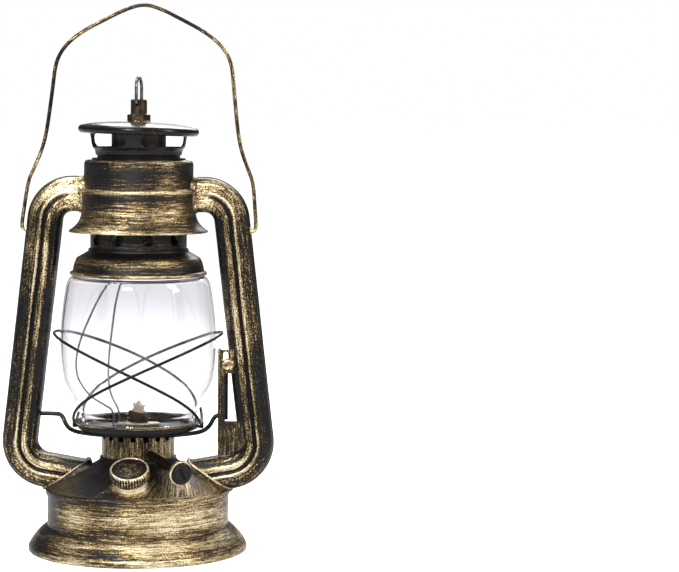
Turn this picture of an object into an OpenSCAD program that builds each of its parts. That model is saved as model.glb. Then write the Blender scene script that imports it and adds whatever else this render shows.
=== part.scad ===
// Railway hurricane lantern fitted with an electric lampholder.
// The origin is on the floor under the lantern's axis: +X to the lifter bracket, -Y to the front.

/* [Fount] */
// Radius of the foot at the floor
foot_r = 73; // [68:0.5:80]
// Height of the flared foot
foot_h = 17.5; // [14:0.5:22]
// Radius of the fount's upright wall
fount_r = 60.5; // [50:0.5:64]
// Height of the upright wall
wall_h = 23.5; // [19:0.5:30]
// Height of the dome above the seam
dome_h = 19; // [16:0.5:21]
// Thickness of the pressed sheet
sheet = 1.2; // [0.9:0.1:1.5]
// Radius of the hole in the cable grommet
cable_r = 3.2; // [2.5:0.1:4]

/* [Filler] */
// Gap between the filler neck and the dome's rim
filler_gap = 4.5; // [3:0.1:6.5]
// Turn of the filler neck about the axis
filler_turn = -1; // [-8:0.5:4]
// Outer radius of the filler neck
neck_r = 10.4; // [8:0.1:11]
// Outer radius of the filler cap
cap_r = 13.1; // [12.6:0.1:14.5]
// Travel of the filler cap when it is unscrewed
cap_travel = 5; // [4:0.5:6]

/* [Burner] */
// Radius of the burner drum
drum_r = 24.3; // [20.5:0.1:28]
// Height of the burner drum above the dome
drum_h = 20; // [16.5:0.5:24]
// Number of air holes round the drum
drum_holes = 18; // [12:1:20]
// Width of the wick
wick_w = 15; // [12:0.5:18]
// Thickness of the wick
wick_t = 2; // [1.5:0.1:3]
// Height of the wick above the burner drum
wick_out = 19; // [15:0.5:24]
// Radius of the wick wheels
wheel_r = 3.2; // [2.5:0.1:3.5]
// Turn of the wick spindle about the axis
spindle_turn = 36; // [30:1:42]
// Slope of the wick spindle below level
spindle_tilt = 11; // [8:0.5:12]
// Distance of the knob from the axis, along the spindle
knob_reach = 60; // [56:0.5:66]
// Radius of the wick knob
knob_r = 8.6; // [7:0.1:9.5]

/* [Globe] */
// Largest radius of the glass globe
globe_r = 52.5; // [48:0.5:54]
// Height of the glass globe
globe_h = 109; // [100:1:134]
// Thickness of the glass
glass_t = 1.8; // [1.4:0.1:2.2]
// Outer radius of the globe's foot
globe_foot_r = 38.6; // [36:0.2:40]
// Lift of the globe, its plate and the bell
lift = 7; // [5:0.5:8]
// Radius of the guard wires
guard_r = 1; // [0.8:0.1:1.2]
// Radius of the lifter wire
lifter_r = 1.5; // [1.2:0.1:1.7]

/* [Crown] */
// Outer radius of the crown's lower cylinder
crown_r = 38; // [36.5:0.5:43]
// Height of the crown below its ridge
crown_low_h = 27; // [26:0.5:32]
// Height of the crown above its ridge
crown_high_h = 21; // [18:0.5:25]
// Radius of the perforated bell collar
collar_r = 32; // [31:0.2:32.6]
// Outer radius of the canopy cap
canopy_r = 40; // [36:0.5:46]
// Height of the canopy windows
window_h = 10.5; // [9:0.5:14]

/* [Side tubes] */
// Width of a side tube, seen from the front
tube_w = 23; // [21:0.5:25]
// Depth of a side tube, front to back
tube_d = 20; // [17:0.5:22]
// Centreline radius of the upper bend
upper_bend_r = 18; // [16:0.5:20]
// Centreline radius of the lower bend
lower_bend_r = 20; // [17:0.5:22]
// Slope of the lower stub below level
stub_tilt = 10; // [8:0.5:14]

/* [Bail and hanger] */
// Height of the bail's apex above its pivots
bail_h = 150; // [145:1:185]
// Sideways lean of the hand-bent bail's apex
bail_lean = 3.4; // [0:0.2:5]
// Radius of the bail wire
bail_r = 1.25; // [1:0.05:1.5]
// Outer radius of the hook block
block_r = 5.4; // [5.3:0.1:6.5]
// Radius of the hanging ring's wire
ring_r = 1.05; // [0.9:0.05:1.2]
// Turn of the hanging ring's pin about the axis
ring_turn = 9; // [0:1:40]

/* [Lampholder] */
// Outer radius of the lampholder's cap
holder_r = 18; // [17.2:0.1:19]
// Inner radius of the lamp thread sleeve
lamp_r = 13.2; // [12.6:0.1:13.2]
// Length of the lamp thread sleeve
lamp_len = 24; // [20:0.5:27]
// Radius of the threaded nipple
nipple_r = 5; // [4.6:0.1:5]

/* [Hidden] */
$fn = 96;

// Clearances
run = 0.05;     // radial gap of a pin that turns in a hole
slide = 0.4;    // gap between pieces that slide past each other
loose = 1.5;    // gap round a wire that passes through a hole
eps = 0.01;

// Heights, from the floor up
seam_z = foot_h + wall_h;
seam_lap = 2.8;
dome_r = fount_r + sheet;
collar_out = drum_r + sheet;
dome_top_z = seam_z + dome_h;
drum_top_z = dome_top_z + drum_h;
plate_z = drum_top_z + 1.5;
plate_rim_h = 4;
globe_z = plate_z + sheet;
globe_top_z = globe_z + globe_h;
bell_z = globe_top_z - 7.1;
bell_h = 17;
bell_top_z = bell_z + bell_h;
crown_z = bell_top_z + lift + 4;
ridge_z = crown_z + crown_low_h;
crown_top_z = ridge_z + crown_high_h;
neck_top_z = crown_top_z + 6;
window_z = neck_top_z + 2;
canopy_z = window_z + window_h;
cap_top_z = canopy_z + 6.5;
nut_z = cap_top_z + 1;
block_z = nut_z + 4;
block_h = 10;
ring_z = block_z + 7;

// Outlines ---------------------------------------------------------------

function unit(v) = v / norm(v);

// Points of a smooth bend from a to c that heads for b
function curve(a, b, c, n = 8) =
    [for (i = [0:n]) let (t = i / n) a * (1 - t) ^ 2 + b * 2 * t * (1 - t) + c * t ^ 2];

// Points of an arc round c
function arc(c, r, from, to, n = 6) =
    [for (i = [0:n]) let (a = from + (to - from) * i / n) c + r * [cos(a), sin(a)]];

// Sideways step of length 1 at point i of an outline, mitred at its corners
function side_step(p, i) =
    let (last = len(p) - 1,
         a = unit(p[max(i, 1)] - p[max(i, 1) - 1]),
         b = unit(p[min(i, last - 1) + 1] - p[min(i, last - 1)]),
         m = unit(a + b))
    [-m[1], m[0]] / max(0.4, m * a);

// Closed outline of a sheet of thickness t that lies on the left of a path
function sheet_on(p, t) = concat(p, [for (i = [len(p) - 1:-1:0]) p[i] + t * side_step(p, i)]);

module spin(path, t = sheet) {
    rotate_extrude() polygon(sheet_on(path, t));
}

module ring(r_out, r_in, z, h) {
    translate([0, 0, z]) difference() {
        cylinder(r = r_out, h = h);
        translate([0, 0, -1]) cylinder(r = r_in, h = h + 2);
    }
}

// Round an open path's corners by cutting them twice
function cut_corners(p) = concat([p[0]],
    [for (i = [0:len(p) - 2]) each [p[i] * 0.75 + p[i + 1] * 0.25, p[i] * 0.25 + p[i + 1] * 0.75]],
    [p[len(p) - 1]]);
function rounded(p) = cut_corners(cut_corners(p));

// Wire of radius r along points; 'across' is never parallel to the wire
module wire(points, r, across, closed = false, sides = 8) {
    n = len(points);
    last = n - 1;
    heading = [for (i = [0:last]) closed
        ? unit(points[(i + 1) % n] - points[(i + last) % n])
        : unit(points[min(i + 1, last)] - points[max(i - 1, 0)])];
    corners = [for (i = [0:last]) let (u = unit(cross(across, heading[i])), v = cross(heading[i], u))
        each [for (k = [0:sides - 1]) let (a = 360 * k / sides)
            points[i] + r * (cos(a) * u + sin(a) * v)]];
    walls = [for (i = [0:closed ? last : last - 1], k = [0:sides - 1])
        let (j = (i + 1) % n, m = (k + 1) % sides)
        [i * sides + k, j * sides + k, j * sides + m, i * sides + m]];
    ends = closed ? [] : [[for (k = [0:sides - 1]) k], [for (k = [sides - 1:-1:0]) last * sides + k]];
    polyhedron(corners, concat(walls, ends), convexity = 8);
}

// Fount ------------------------------------------------------------------

dome_mid = [34.5 - 24.3 + drum_r, dome_top_z - 4.5];
filler_reach = dome_r - neck_r - filler_gap;
dome_tilt = atan2(dome_mid[1] - seam_z, dome_r - dome_mid[0]);
function dome_at(r) = seam_z + (dome_r - r) * tan(dome_tilt);
dome_path = concat([[dome_r, seam_z - seam_lap], [dome_r, seam_z]],
    [dome_mid],
    curve([collar_out + 4, dome_top_z - 2.1], [collar_out, dome_top_z - 0.4],
        [collar_out, dome_top_z + 2.5], 5));
grommet_z = foot_h + wall_h * 0.42;
grommet_r = cable_r + 1.8;

module foot_outline() {
    spin(concat([[foot_r, 0], [foot_r, 3]],
        curve([foot_r - 0.7, 4.4], [foot_r - 4.9, foot_h * 0.7], [fount_r + 1.4, foot_h - 0.9], 7),
        [[fount_r, foot_h], [fount_r, dome_at(fount_r) - sheet / cos(dome_tilt)]]));
}

module fount_base() {
    color("darkgoldenrod") difference() {
        foot_outline();
        translate([0, fount_r, grommet_z]) rotate([90, 0, 0]) cylinder(r = grommet_r, h = 20, center = true);
    }
}

plate_r = foot_r - sheet;
floor_z = 1.6;
floor_rise = 2.6;

module bottom_plate() {
    color("dimgray") spin([[0.01, floor_z + floor_rise], [fount_r - 8, floor_z + floor_rise],
        [fount_r - 4, floor_z], [plate_r, floor_z]]);
}

module at_filler() {
    rotate([0, 0, filler_turn]) translate([0, -filler_reach, dome_at(filler_reach)])
        rotate([dome_tilt, 0, 0]) children();
}

module fount_dome() {
    color("goldenrod") difference() {
        spin(dome_path);
        at_filler() translate([0, 0, -8]) cylinder(r = neck_r, h = 16);
        at_spindle() cylinder(r = sleeve_r, h = drum_r + 12);
    }
}

module cable_grommet() {
    color("black") translate([0, fount_r, grommet_z]) rotate([-90, 0, 0]) rotate_extrude()
        polygon([[cable_r, -4], [grommet_r + 1.4, -4], [grommet_r + 1.4, -2.2], [grommet_r, -2.2],
            [grommet_r, 0.6], [grommet_r + 1.4, 0.6], [grommet_r + 0.6, 3], [cable_r, 3]]);
}

terminal_w = 24;
terminal_y = fount_r * 0.6;
terminal_z = floor_z + floor_rise + sheet;
terminal_h = 11;
lead_r = 0.7;
pole_x = 6;

module terminal_block() {
    color("ivory") difference() {
        translate([-terminal_w / 2, terminal_y - 6, terminal_z]) cube([terminal_w, 12, terminal_h]);
        for (x = [-pole_x, pole_x]) {
            translate([x, terminal_y, terminal_z + 4]) cylinder(r = lead_r, h = terminal_h);
            translate([x, terminal_y + 1, terminal_z + 6]) rotate([-90, 0, 0]) cylinder(r = 1.6, h = 8);
        }
        translate([0, terminal_y, terminal_z - 1]) cylinder(r = 1.6, h = terminal_h + 2);
    }
}

// Filler -----------------------------------------------------------------

neck_h = 12;
gasket_t = 1.2;
cap_skirt = 5.2;
cap_face = neck_h + gasket_t + 0.1;
cap_teeth = 36;

module filler_neck() {
    color("darkgoldenrod") {
        at_filler() rotate_extrude() polygon(concat(
            [[neck_r - 1.6, neck_h], [neck_r - 1.6, -4], [neck_r, -4], [neck_r, 1.4]],
            arc([neck_r, 2.2], 0.8, -90, 90), arc([neck_r, 3.8], 0.8, -90, 90), [[neck_r, neck_h]]));
        difference() {
            intersection() {
                translate([0, 0, sheet / cos(dome_tilt)]) spin([[dome_r, seam_z], dome_mid]);
                at_filler() translate([0, 0, -10]) cylinder(r = neck_r + 2.2, h = 20);
            }
            at_filler() translate([0, 0, -11]) cylinder(r = neck_r, h = 22);
        }
    }
}

module filler_gasket() {
    color("black") at_filler() ring(neck_r + 0.9, neck_r - 2, neck_h, gasket_t);
}

module filler_cap() {
    color("gold") at_filler() difference() {
        union() {
            translate([0, 0, cap_face - cap_skirt + 1.2]) cylinder(r = cap_r - 0.5, h = cap_skirt + 1.4);
            for (i = [0:cap_teeth - 1]) rotate([0, 0, i * 360 / cap_teeth])
                translate([cap_r - 0.9, 0, cap_face - cap_skirt + 2.4])
                    cylinder(r = 0.9, h = cap_skirt - 0.6, $fn = 6);
        }
        translate([0, 0, cap_face - cap_skirt]) cylinder(r = neck_r + 1.3, h = cap_skirt);
        translate([0, 0, cap_face + 1.4]) cylinder(r = cap_r - 1.8, h = 4);
    }
}

// Burner -----------------------------------------------------------------

drum_foot_z = dome_top_z - 1.5;
burner_r = drum_r - 9.8;
burner_cap_z = drum_top_z + 6.8;
tube_wall = 0.9;
wick_gap = 0.3;
wick_tube_top = burner_cap_z + 5.5;
spindle_z = drum_top_z - 9.2;
spindle_r = 1.5;
sleeve_r = 3;
spindle_side = -(wheel_r + wick_t / 2 + 0.15);
lead_live = [-17.3 + 24.3 - drum_r, 8];
lead_neutral = [-14 + 24.3 - drum_r, 13];
leads = [lead_live, lead_neutral];

module at_wick() {
    rotate([0, 0, spindle_turn]) children();
}

module at_spindle() {
    at_wick() translate([spindle_side, 0, spindle_z]) rotate([90 + spindle_tilt, 0, 0]) children();
}

module wick_bar(gap, z0, z1) {
    at_wick() translate([-wick_t / 2 - gap, -wick_w / 2 - gap, z0])
        cube([wick_t + 2 * gap, wick_w + 2 * gap, z1 - z0]);
}

module burner_drum() {
    color("saddlebrown") difference() {
        spin(concat([[drum_r, drum_foot_z], [drum_r, drum_top_z - 2.6]],
            curve([drum_r - 0.1, drum_top_z - 2], [drum_r - 0.4, drum_top_z], [drum_r - 2.6, drum_top_z], 5),
            [[burner_r, drum_top_z]]));
        for (i = [0:drum_holes - 1]) rotate([0, 0, (i + 0.35) * 360 / drum_holes])
            translate([drum_r - 4, 0, drum_top_z - 3.6]) rotate([0, 90, 0])
                cylinder(r = 1.9, h = 8, $fn = 24);
        at_spindle() cylinder(r = sleeve_r, h = drum_r + 12);
        for (p = leads) translate([p[0], p[1], drum_top_z - 4]) cylinder(r = lead_r, h = 8, $fn = 24);
    }
}

module burner_floor() {
    color("dimgray") difference() {
        translate([0, 0, drum_foot_z]) cylinder(r = drum_r - sheet, h = sheet);
        wick_bar(wick_gap + tube_wall, drum_foot_z - 1, drum_foot_z + 3);
        for (p = leads) translate([p[0], p[1], drum_foot_z - 1]) cylinder(r = lead_r, h = 4, $fn = 24);
    }
}

module burner_cap() {
    color("gold") difference() {
        rotate_extrude() polygon(concat([[0, drum_top_z - sheet], [burner_r, drum_top_z - sheet],
            [burner_r, burner_cap_z - 2]], arc([burner_r - 1.5, burner_cap_z - 1.5], 1.5, 0, 90, 4),
            [[0, burner_cap_z]]));
        translate([0, 0, drum_top_z - sheet - eps])
            cylinder(r = burner_r - 1.4, h = burner_cap_z - drum_top_z);
        wick_bar(wick_gap + tube_wall, drum_top_z - 3, burner_cap_z + 2);
    }
}

module wick_tube() {
    color("dimgray") difference() {
        wick_bar(wick_gap + tube_wall, drum_foot_z - 8, wick_tube_top);
        wick_bar(wick_gap, drum_foot_z - 10, wick_tube_top + 2);
        at_wick() translate([-wick_t / 2 - 6, -wick_w / 2 + 0.8, spindle_z - wheel_r - 1.2])
            cube([6, wick_w - 1.6, 2 * wheel_r + 2.4]);
    }
}

module wick() {
    color("tan") wick_bar(0, terminal_z + 14, drum_top_z + wick_out);
}

wheel_t = 1.5;
wheel_gap = 5.5;

module wick_spindle() {
    color("peru") at_spindle() translate([0, 0, -wheel_gap])
        cylinder(r = spindle_r, h = knob_reach + wheel_gap);
}

module wick_wheels() {
    color("dimgray") at_spindle() for (s = [-wheel_gap + 1, wheel_gap - 1 - wheel_t])
        translate([0, 0, s]) difference() {
            cylinder(r = wheel_r, h = wheel_t, $fn = 12);
            translate([0, 0, -1]) cylinder(r = spindle_r, h = wheel_t + 2);
        }
}

sleeve_from = drum_r - 1;
sleeve_to = knob_reach - 7;

module spindle_sleeve() {
    color("sienna") at_spindle() difference() {
        translate([0, 0, sleeve_from]) cylinder(r = sleeve_r, h = sleeve_to - sleeve_from);
        translate([0, 0, sleeve_from - 1]) cylinder(r = spindle_r + run, h = sleeve_to - sleeve_from + 2);
    }
}

knob_t = 3.2;
knob_teeth = 32;

module wick_knob() {
    color("gold") at_spindle() difference() {
        union() {
            translate([0, 0, knob_reach - 1]) cylinder(r = knob_r - 0.4, h = knob_t);
            translate([0, 0, knob_reach - 5]) cylinder(r = 3.4, h = 5);
            for (i = [0:knob_teeth - 1]) rotate([0, 0, i * 360 / knob_teeth])
                translate([knob_r - 0.7, 0, knob_reach - 0.6]) cylinder(r = 0.7, h = knob_t - 0.8, $fn = 6);
        }
        translate([0, 0, knob_reach - 6]) cylinder(r = spindle_r, h = 6);
        translate([0, 0, knob_reach + 1.2]) cylinder(r = knob_r - 1.3, h = 4);
    }
}

module knob_face() {
    color("black") at_spindle() translate([0, 0, knob_reach + 1.2]) rotate_extrude()
        polygon(concat([[0, 0], [knob_r - 1.3, 0]], arc([knob_r - 2.8, 2.2], 1.5, 0, 80, 4), [[0, 4]]));
}

// Globe, guards and lifter ------------------------------------------------

globe_neck_r = globe_foot_r - 0.9;
globe_mouth_r = 39.4;
globe_path = concat(
    [[globe_foot_r, 0], [globe_foot_r, 2.6], [globe_neck_r, 4.2], [globe_neck_r, 6.4]],
    curve([globe_neck_r + 0.7, 8.4], [globe_r - 3.6, 22], [globe_r - 1.6, 33], 8),
    curve([globe_r - 1.2, 37], [globe_r + 1.6, globe_h * 0.56], [globe_r - 4.7, globe_h - 13.6], 12),
    curve([globe_r - 5.6, globe_h - 11.6], [globe_r - 6.8, globe_h - 8.6],
        [globe_mouth_r + 2.6, globe_h - 7.8], 4),
    [[globe_mouth_r + 0.8, globe_h - 5.4], [globe_mouth_r, globe_h]]);

module globe() {
    color("lavender", 0.4) translate([0, 0, globe_z]) spin(globe_path, glass_t);
}

plate_rim_r = globe_foot_r + slide + sheet + 0.3;

module globe_plate() {
    color("darkgoldenrod") difference() {
        spin([[burner_r + 1.4, plate_z], [plate_rim_r, plate_z], [plate_rim_r, plate_z + plate_rim_h]]);
        for (p = leads) translate([p[0], p[1], plate_z - 1]) cylinder(r = lead_r + loose, h = 4, $fn = 32);
    }
}

// The guard loops lie close over the glass: radius at each height above the plate
guard_low_z = plate_z + 2.4;
guard_high_z = plate_z + 64;
guard_form = [[2.4, plate_rim_r + guard_r], [17, globe_r - 4], [28, globe_r + 1], [42, globe_r + 2.4],
    [65, globe_r + 3.4]];
function guard_point(a, turn, out) =
    let (z = guard_low_z + (guard_high_z - guard_low_z) * ((1 + cos(a)) / 2) ^ 0.7,
         r = lookup(z - plate_z, guard_form) + out * sin(a) ^ 2)
    [r * cos(a + turn), r * sin(a + turn), z];

module guard_wire_left() {
    color("dimgray") wire([for (i = [0:47]) guard_point(i * 7.5, 180, 0)], guard_r, [0, 0, 1], true);
}

module guard_wire_right() {
    color("dimgray")
        wire([for (i = [0:47]) guard_point(i * 7.5, 0, 2.4 * guard_r)], guard_r, [0, 0, 1], true);
}

module guard_clips() {
    color("darkgoldenrod") for (m = [0, 1]) mirror([m, 0, 0]) difference() {
        translate([plate_rim_r, -4, guard_low_z - 2]) cube([2 * guard_r + 1.2, 8, 4]);
        translate([0, 0, guard_low_z]) rotate_extrude()
            translate([plate_rim_r + guard_r, 0]) circle(r = guard_r + 0.1, $fn = 24);
    }
}

// Side tube frame: centrelines lie in the XZ plane, built for the +X side
upper_c = [crown_r + 6.05, crown_z + 25 - upper_bend_r];
lower_c = [max(fount_r - 1.6, globe_r + 6.4), seam_z + 11.5 + lower_bend_r];
bend_gap = upper_c - lower_c;
lean = atan2(-bend_gap[0], bend_gap[1]) + asin((lower_bend_r - upper_bend_r) / norm(bend_gap));
stub_end = stub_tilt - 90;
leg_top = upper_c + upper_bend_r * [cos(lean), sin(lean)];
leg_low = lower_c + lower_bend_r * [cos(lean), sin(lean)];
function leg_x(z) = leg_top[0] + (leg_top[1] - z) * tan(lean);
function tube_inner_x(z) = leg_x(z) - tube_w / 2 / cos(lean);
function tube_outer_x(z) = leg_x(z) + tube_w / 2 / cos(lean);

// Outline of the front half of a tube: u runs from the outer edge in, w runs forward
tube_corner = 6.5;
bead_r = 1.2;
function bead(u, r) = arc([u, tube_d / 2 - 0.4], r, 20, 160, 3);
function half_outline(grow = 0, beads = false) =
    let (h = tube_w / 2 + grow, d = tube_d / 2 + grow, k = tube_corner + grow, flat = h - k)
    concat([[h, 0]], arc([flat, d - k], k, 0, 90, 5),
        beads ? bead(flat * 0.46, bead_r) : [], beads ? bead(-flat * 0.7, bead_r * 0.85) : [],
        arc([-flat, d - k], k, 90, 180, 5), [[-h, 0]]);
function reversed(p) = [for (i = [len(p) - 1:-1:0]) p[i]];
wall_outline = concat(half_outline(0, true), reversed(half_outline(-sheet)));
function whole_outline(grow = 0, beads = false) =
    let (half = [for (p = half_outline(grow, beads)) if (p[1] > 0) p])
    concat(half, [for (p = reversed(half)) [p[0], -p[1]]]);

// Stations along a tube from the crown to the fount: point on the centreline and its outward angle
stub_len = lower_c[0] - drum_r - 4;
entry_len = upper_c[0] - crown_r + 8;
function on_bend(c, r, a) = [c + r * [cos(a), sin(a)], a];
stations = concat([[upper_c + [-entry_len, upper_bend_r], 90]],
    [for (i = [0:8]) on_bend(upper_c, upper_bend_r, 90 + (lean - 90) * i / 8)],
    [for (i = [0:8]) on_bend(lower_c, lower_bend_r, lean + (stub_end - lean) * i / 8)],
    [[lower_c + lower_bend_r * [cos(stub_end), sin(stub_end)] + stub_len * [sin(stub_end), -cos(stub_end)],
        stub_end]]);

module along_tube(outline) {
    n = len(outline);
    last = len(stations) - 1;
    corners = [for (s = stations, p = outline)
        [s[0][0] + p[0] * cos(s[1]), -p[1], s[0][1] + p[0] * sin(s[1])]];
    walls = [for (i = [0:last - 1], k = [0:n - 1]) let (m = (k + 1) % n)
        [i * n + k, (i + 1) * n + k, (i + 1) * n + m, i * n + m]];
    ends = [[for (k = [0:n - 1]) k], [for (k = [n - 1:-1:0]) last * n + k]];
    polyhedron(corners, concat(walls, ends), convexity = 8);
}

// Straight run of a whole tube's outline that starts at angle a of a bend
module straight(c, r, a, from, length, grow = 0) {
    translate([c[0], 0, c[1]]) rotate([90, 0, 0]) rotate([0, 0, a]) translate([r, from, 0])
        rotate([90, 0, 0]) linear_extrude(height = length)
            polygon(whole_outline(grow, grow == 0));
}

// Solid under the dome's outer surface, and the crown's hollow: tubes end on them
module dome_solid(grow = 0) {
    rotate_extrude() polygon([[0, seam_z - 20], [dome_r + grow, seam_z - 20], [dome_r + grow, seam_z],
        [dome_r, seam_z + grow / cos(dome_tilt)], dome_mid + [0, grow / cos(dome_tilt)],
        [0, dome_at(0) + grow / cos(dome_tilt)]]);
}

shoe_wall_r = dome_mid[0] + 1.3;

module half_tube() {
    difference() {
        along_tube(wall_outline);
        translate([0, 0, crown_z]) cylinder(r = crown_r - sheet, h = crown_low_h + 30);
        cylinder(r = shoe_wall_r + sheet, h = dome_at(0) + 20);
        dome_solid();
        bail_pivot() cylinder(r = eyelet_r, h = 8, center = true);
    }
}

module tube_holes() {
    for (m = [0, 1]) mirror([m, 0, 0]) straight(upper_c, upper_bend_r, 90, entry_len, entry_len);
}

module right_tube_front() {
    color("darkgoldenrod") half_tube();
}

module right_tube_rear() {
    color("darkgoldenrod") mirror([0, 1, 0]) half_tube();
}

module left_half_tube() {
    difference() {
        mirror([1, 0, 0]) half_tube();
        lifter_slot();
    }
}

module left_tube_front() {
    color("darkgoldenrod") left_half_tube();
}

module left_tube_rear() {
    color("darkgoldenrod") mirror([0, 1, 0]) left_half_tube();
}

shoe_edge = 2.6;

module tube_shoe() {
    difference() {
        intersection() {
            difference() {
                union() {
                    dome_solid(sheet);
                    cylinder(r = shoe_wall_r + sheet, h = lower_c[1]);
                }
                dome_solid();
                translate([0, 0, -1]) cylinder(r = shoe_wall_r, h = lower_c[1] + 2);
                translate([0, 0, -1]) cylinder(r = dome_r + 9, h = seam_z + 1);
            }
            straight(lower_c, lower_bend_r, stub_end, 0, stub_len, shoe_edge);
        }
        difference() {
            straight(lower_c, lower_bend_r, stub_end, -0.5, stub_len);
            cylinder(r = shoe_wall_r + sheet, h = lower_c[1]);
        }
    }
}

module right_tube_shoe() {
    color("gold") tube_shoe();
}

module left_tube_shoe() {
    color("gold") mirror([1, 0, 0]) tube_shoe();
}

// Lifter -----------------------------------------------------------------

lifter_z = plate_z - lifter_r;
lifter_end_z = lifter_z + 10.5;
lifter_y = -(drum_r + lifter_r + 2.2);
bracket_x = globe_r + 1.2;
strip_w = 4.8;
bracket_t = 1.4;
bracket_y = -9.6;
bracket_top = plate_z + 53.8;
bracket_low = leg_low[1] - 10;
tab_low = bracket_top - 15.7;
gusset_top = plate_z + 6;
slider_x = bracket_x + 4.1;
slider_w = 2.2;
slider_low = lifter_end_z - 3;
eye_z = bracket_top - 9.9;
eye_r = 4;
eye_pin_r = 1.2;

module lifter_slot() {
    hull() for (dz = [0, lift]) translate([-tube_inner_x(lifter_end_z), 0, lifter_end_z + dz])
        rotate([0, 90, 0]) cylinder(r = lifter_r + slide, h = 10, center = true, $fn = 24);
}

module lifter_wire() {
    left = -tube_inner_x(lifter_end_z) - 3.5;
    color("dimgray") wire(rounded([[left, 0, lifter_end_z], [left + 12, 0, lifter_end_z],
        [-51, 0, lifter_end_z - 0.5], [-48, -3, lifter_z + 3], [-43, -8, lifter_z], [-34, -19, lifter_z],
        [-20, lifter_y, lifter_z], [20, lifter_y, lifter_z],
        [34, -19, lifter_z], [43, -8, lifter_z], [48, -3, lifter_z + 3],
        [51, 0, lifter_end_z - 1], [bracket_x + 1, 0, lifter_end_z], [slider_x + 0.4, 0, lifter_end_z]]),
        lifter_r, [0, 0, 1], false, 10);
}

module lift_slider() {
    color("dimgray") {
        translate([slider_x, -1.6, slider_low]) cube([slider_w, 3.2, eye_z + 1.6 - slider_low]);
        translate([slider_x + slider_w / 2, 0.5, eye_z]) rotate([90, 0, 0])
            cylinder(r = eye_pin_r, h = 0.5 - bracket_y + 2.6);
    }
}

module lift_eye() {
    color("gold") translate([slider_x + slider_w / 2, bracket_y - slide, eye_z]) rotate([90, 0, 0])
        difference() {
            union() {
                translate([1.6, 0, 0]) cylinder(r = eye_r, h = 1.4);
                translate([1.6, 0, 1.4]) rotate_extrude() translate([eye_r - 1.2, 0]) circle(r = 1.2, $fn = 24);
            }
            cylinder(r = eye_pin_r, h = 12, center = true);
        }
}

module bracket_web() {
    outline = [[bracket_x, bracket_low], [bracket_x + 8, bracket_low], [leg_low[0] - 6, lower_c[1] - 2],
        [leg_low[0] - 6, gusset_top], [tube_inner_x(tab_low) + 4, tab_low],
        [tube_inner_x(bracket_top) + 4, bracket_top], [bracket_x, bracket_top]];
    difference() {
        polygon([for (p = outline) p - [bracket_x, 0]]);
        translate([strip_w, gusset_top]) square([leg_low[0], tab_low - gusset_top]);
    }
}

module lift_bracket() {
    color("darkgoldenrod") difference() {
        union() {
            translate([bracket_x, bracket_y, bracket_low]) cube([bracket_t, 11.6, bracket_top - bracket_low]);
            translate([bracket_x, bracket_y + bracket_t, 0]) rotate([90, 0, 0])
                linear_extrude(height = bracket_t) bracket_web();
        }
        along_tube(whole_outline());
        dome_solid();
        hull() for (z = [lifter_end_z, lifter_end_z + lift]) translate([bracket_x, 0, z])
            rotate([0, 90, 0]) cylinder(r = lifter_r + slide, h = 8, center = true, $fn = 24);
        hull() for (z = [eye_z, eye_z + lift]) translate([slider_x + slider_w / 2, bracket_y, z])
            rotate([90, 0, 0]) cylinder(r = eye_pin_r + slide, h = 8, center = true, $fn = 24);
    }
}

// Bell and crown -----------------------------------------------------------

bell_rim_r = globe_r - 7.3;
collar_top_z = crown_z + 14;
guide_z = crown_z + 11;

module bell() {
    color("goldenrod") spin(concat(
        arc([bell_rim_r - 0.9, bell_z + 0.6], 1.3, -150, 30, 6),
        curve([bell_rim_r - 1.6, bell_z + 2.4], [bell_rim_r - 2.2, bell_z + 6.5],
            [bell_rim_r - 3.6, bell_z + 9.5], 4),
        curve([bell_rim_r - 5.4, bell_z + 11.6], [collar_r + 4.2, bell_z + 14],
            [collar_r + sheet, bell_top_z - 2], 5),
        [[collar_r + sheet, bell_top_z]]));
}

collar_holes = 10;

module bell_collar() {
    color("dimgray") difference() {
        spin([[collar_r, bell_top_z - 1], [collar_r, collar_top_z], [collar_r - 4.6, collar_top_z]]);
        for (i = [0:collar_holes - 1]) rotate([0, 0, (i + 0.95) * 360 / collar_holes])
            translate([collar_r - 4, 0, bell_top_z + 6.6]) rotate([0, 90, 0])
                cylinder(r = 3.8, h = 8, $fn = 32);
    }
}

spring_r = 0.8;
spring_turns = 6;

module bell_spring() {
    low = collar_top_z + spring_r;
    high = crown_top_z - sheet - spring_r;
    steps = 20 * spring_turns;
    color("silver") wire([for (i = [0:steps]) let (a = i * 18)
        [(collar_r - 2.3) * cos(a), (collar_r - 2.3) * sin(a), low + (high - low) * i / steps]],
        spring_r, [0, 0, 1], false, 6);
}

module bell_guide() {
    color("dimgray") ring(crown_r - sheet, collar_r + slide, guide_z, sheet);
}

crown_high_r = crown_r - 1.8;
crown_neck_r = min(crown_r - 11.7, canopy_r - 13.7);

module crown() {
    color("goldenrod") difference() {
        spin(concat([[crown_r + 8.2, crown_z], [crown_r + 7.9, crown_z + 1]],
            curve([crown_r + 5, crown_z + 3], [crown_r + 0.6, crown_z + 6], [crown_r, crown_z + 11], 6),
            [[crown_r, ridge_z - 1.6]], arc([crown_r - 1.4, ridge_z], sheet + 1, -36, 36, 4),
            [[crown_high_r, ridge_z + 2.2]],
            curve([crown_high_r, crown_top_z - 3.4], [crown_high_r, crown_top_z],
                [crown_high_r - 3.4, crown_top_z], 5),
            [[crown_neck_r, crown_top_z]]));
        tube_holes();
    }
}

module crown_top() {
    color("black")
        spin([[basket_r + 2.4, crown_top_z], [crown_neck_r, crown_top_z], [crown_neck_r, neck_top_z]], -sheet);
}

// Canopy and hanger ---------------------------------------------------------

basket_r = crown_neck_r + 2 * sheet;
strut_half = 11;
post_turn = [0, 90, 180, 270];

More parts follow.
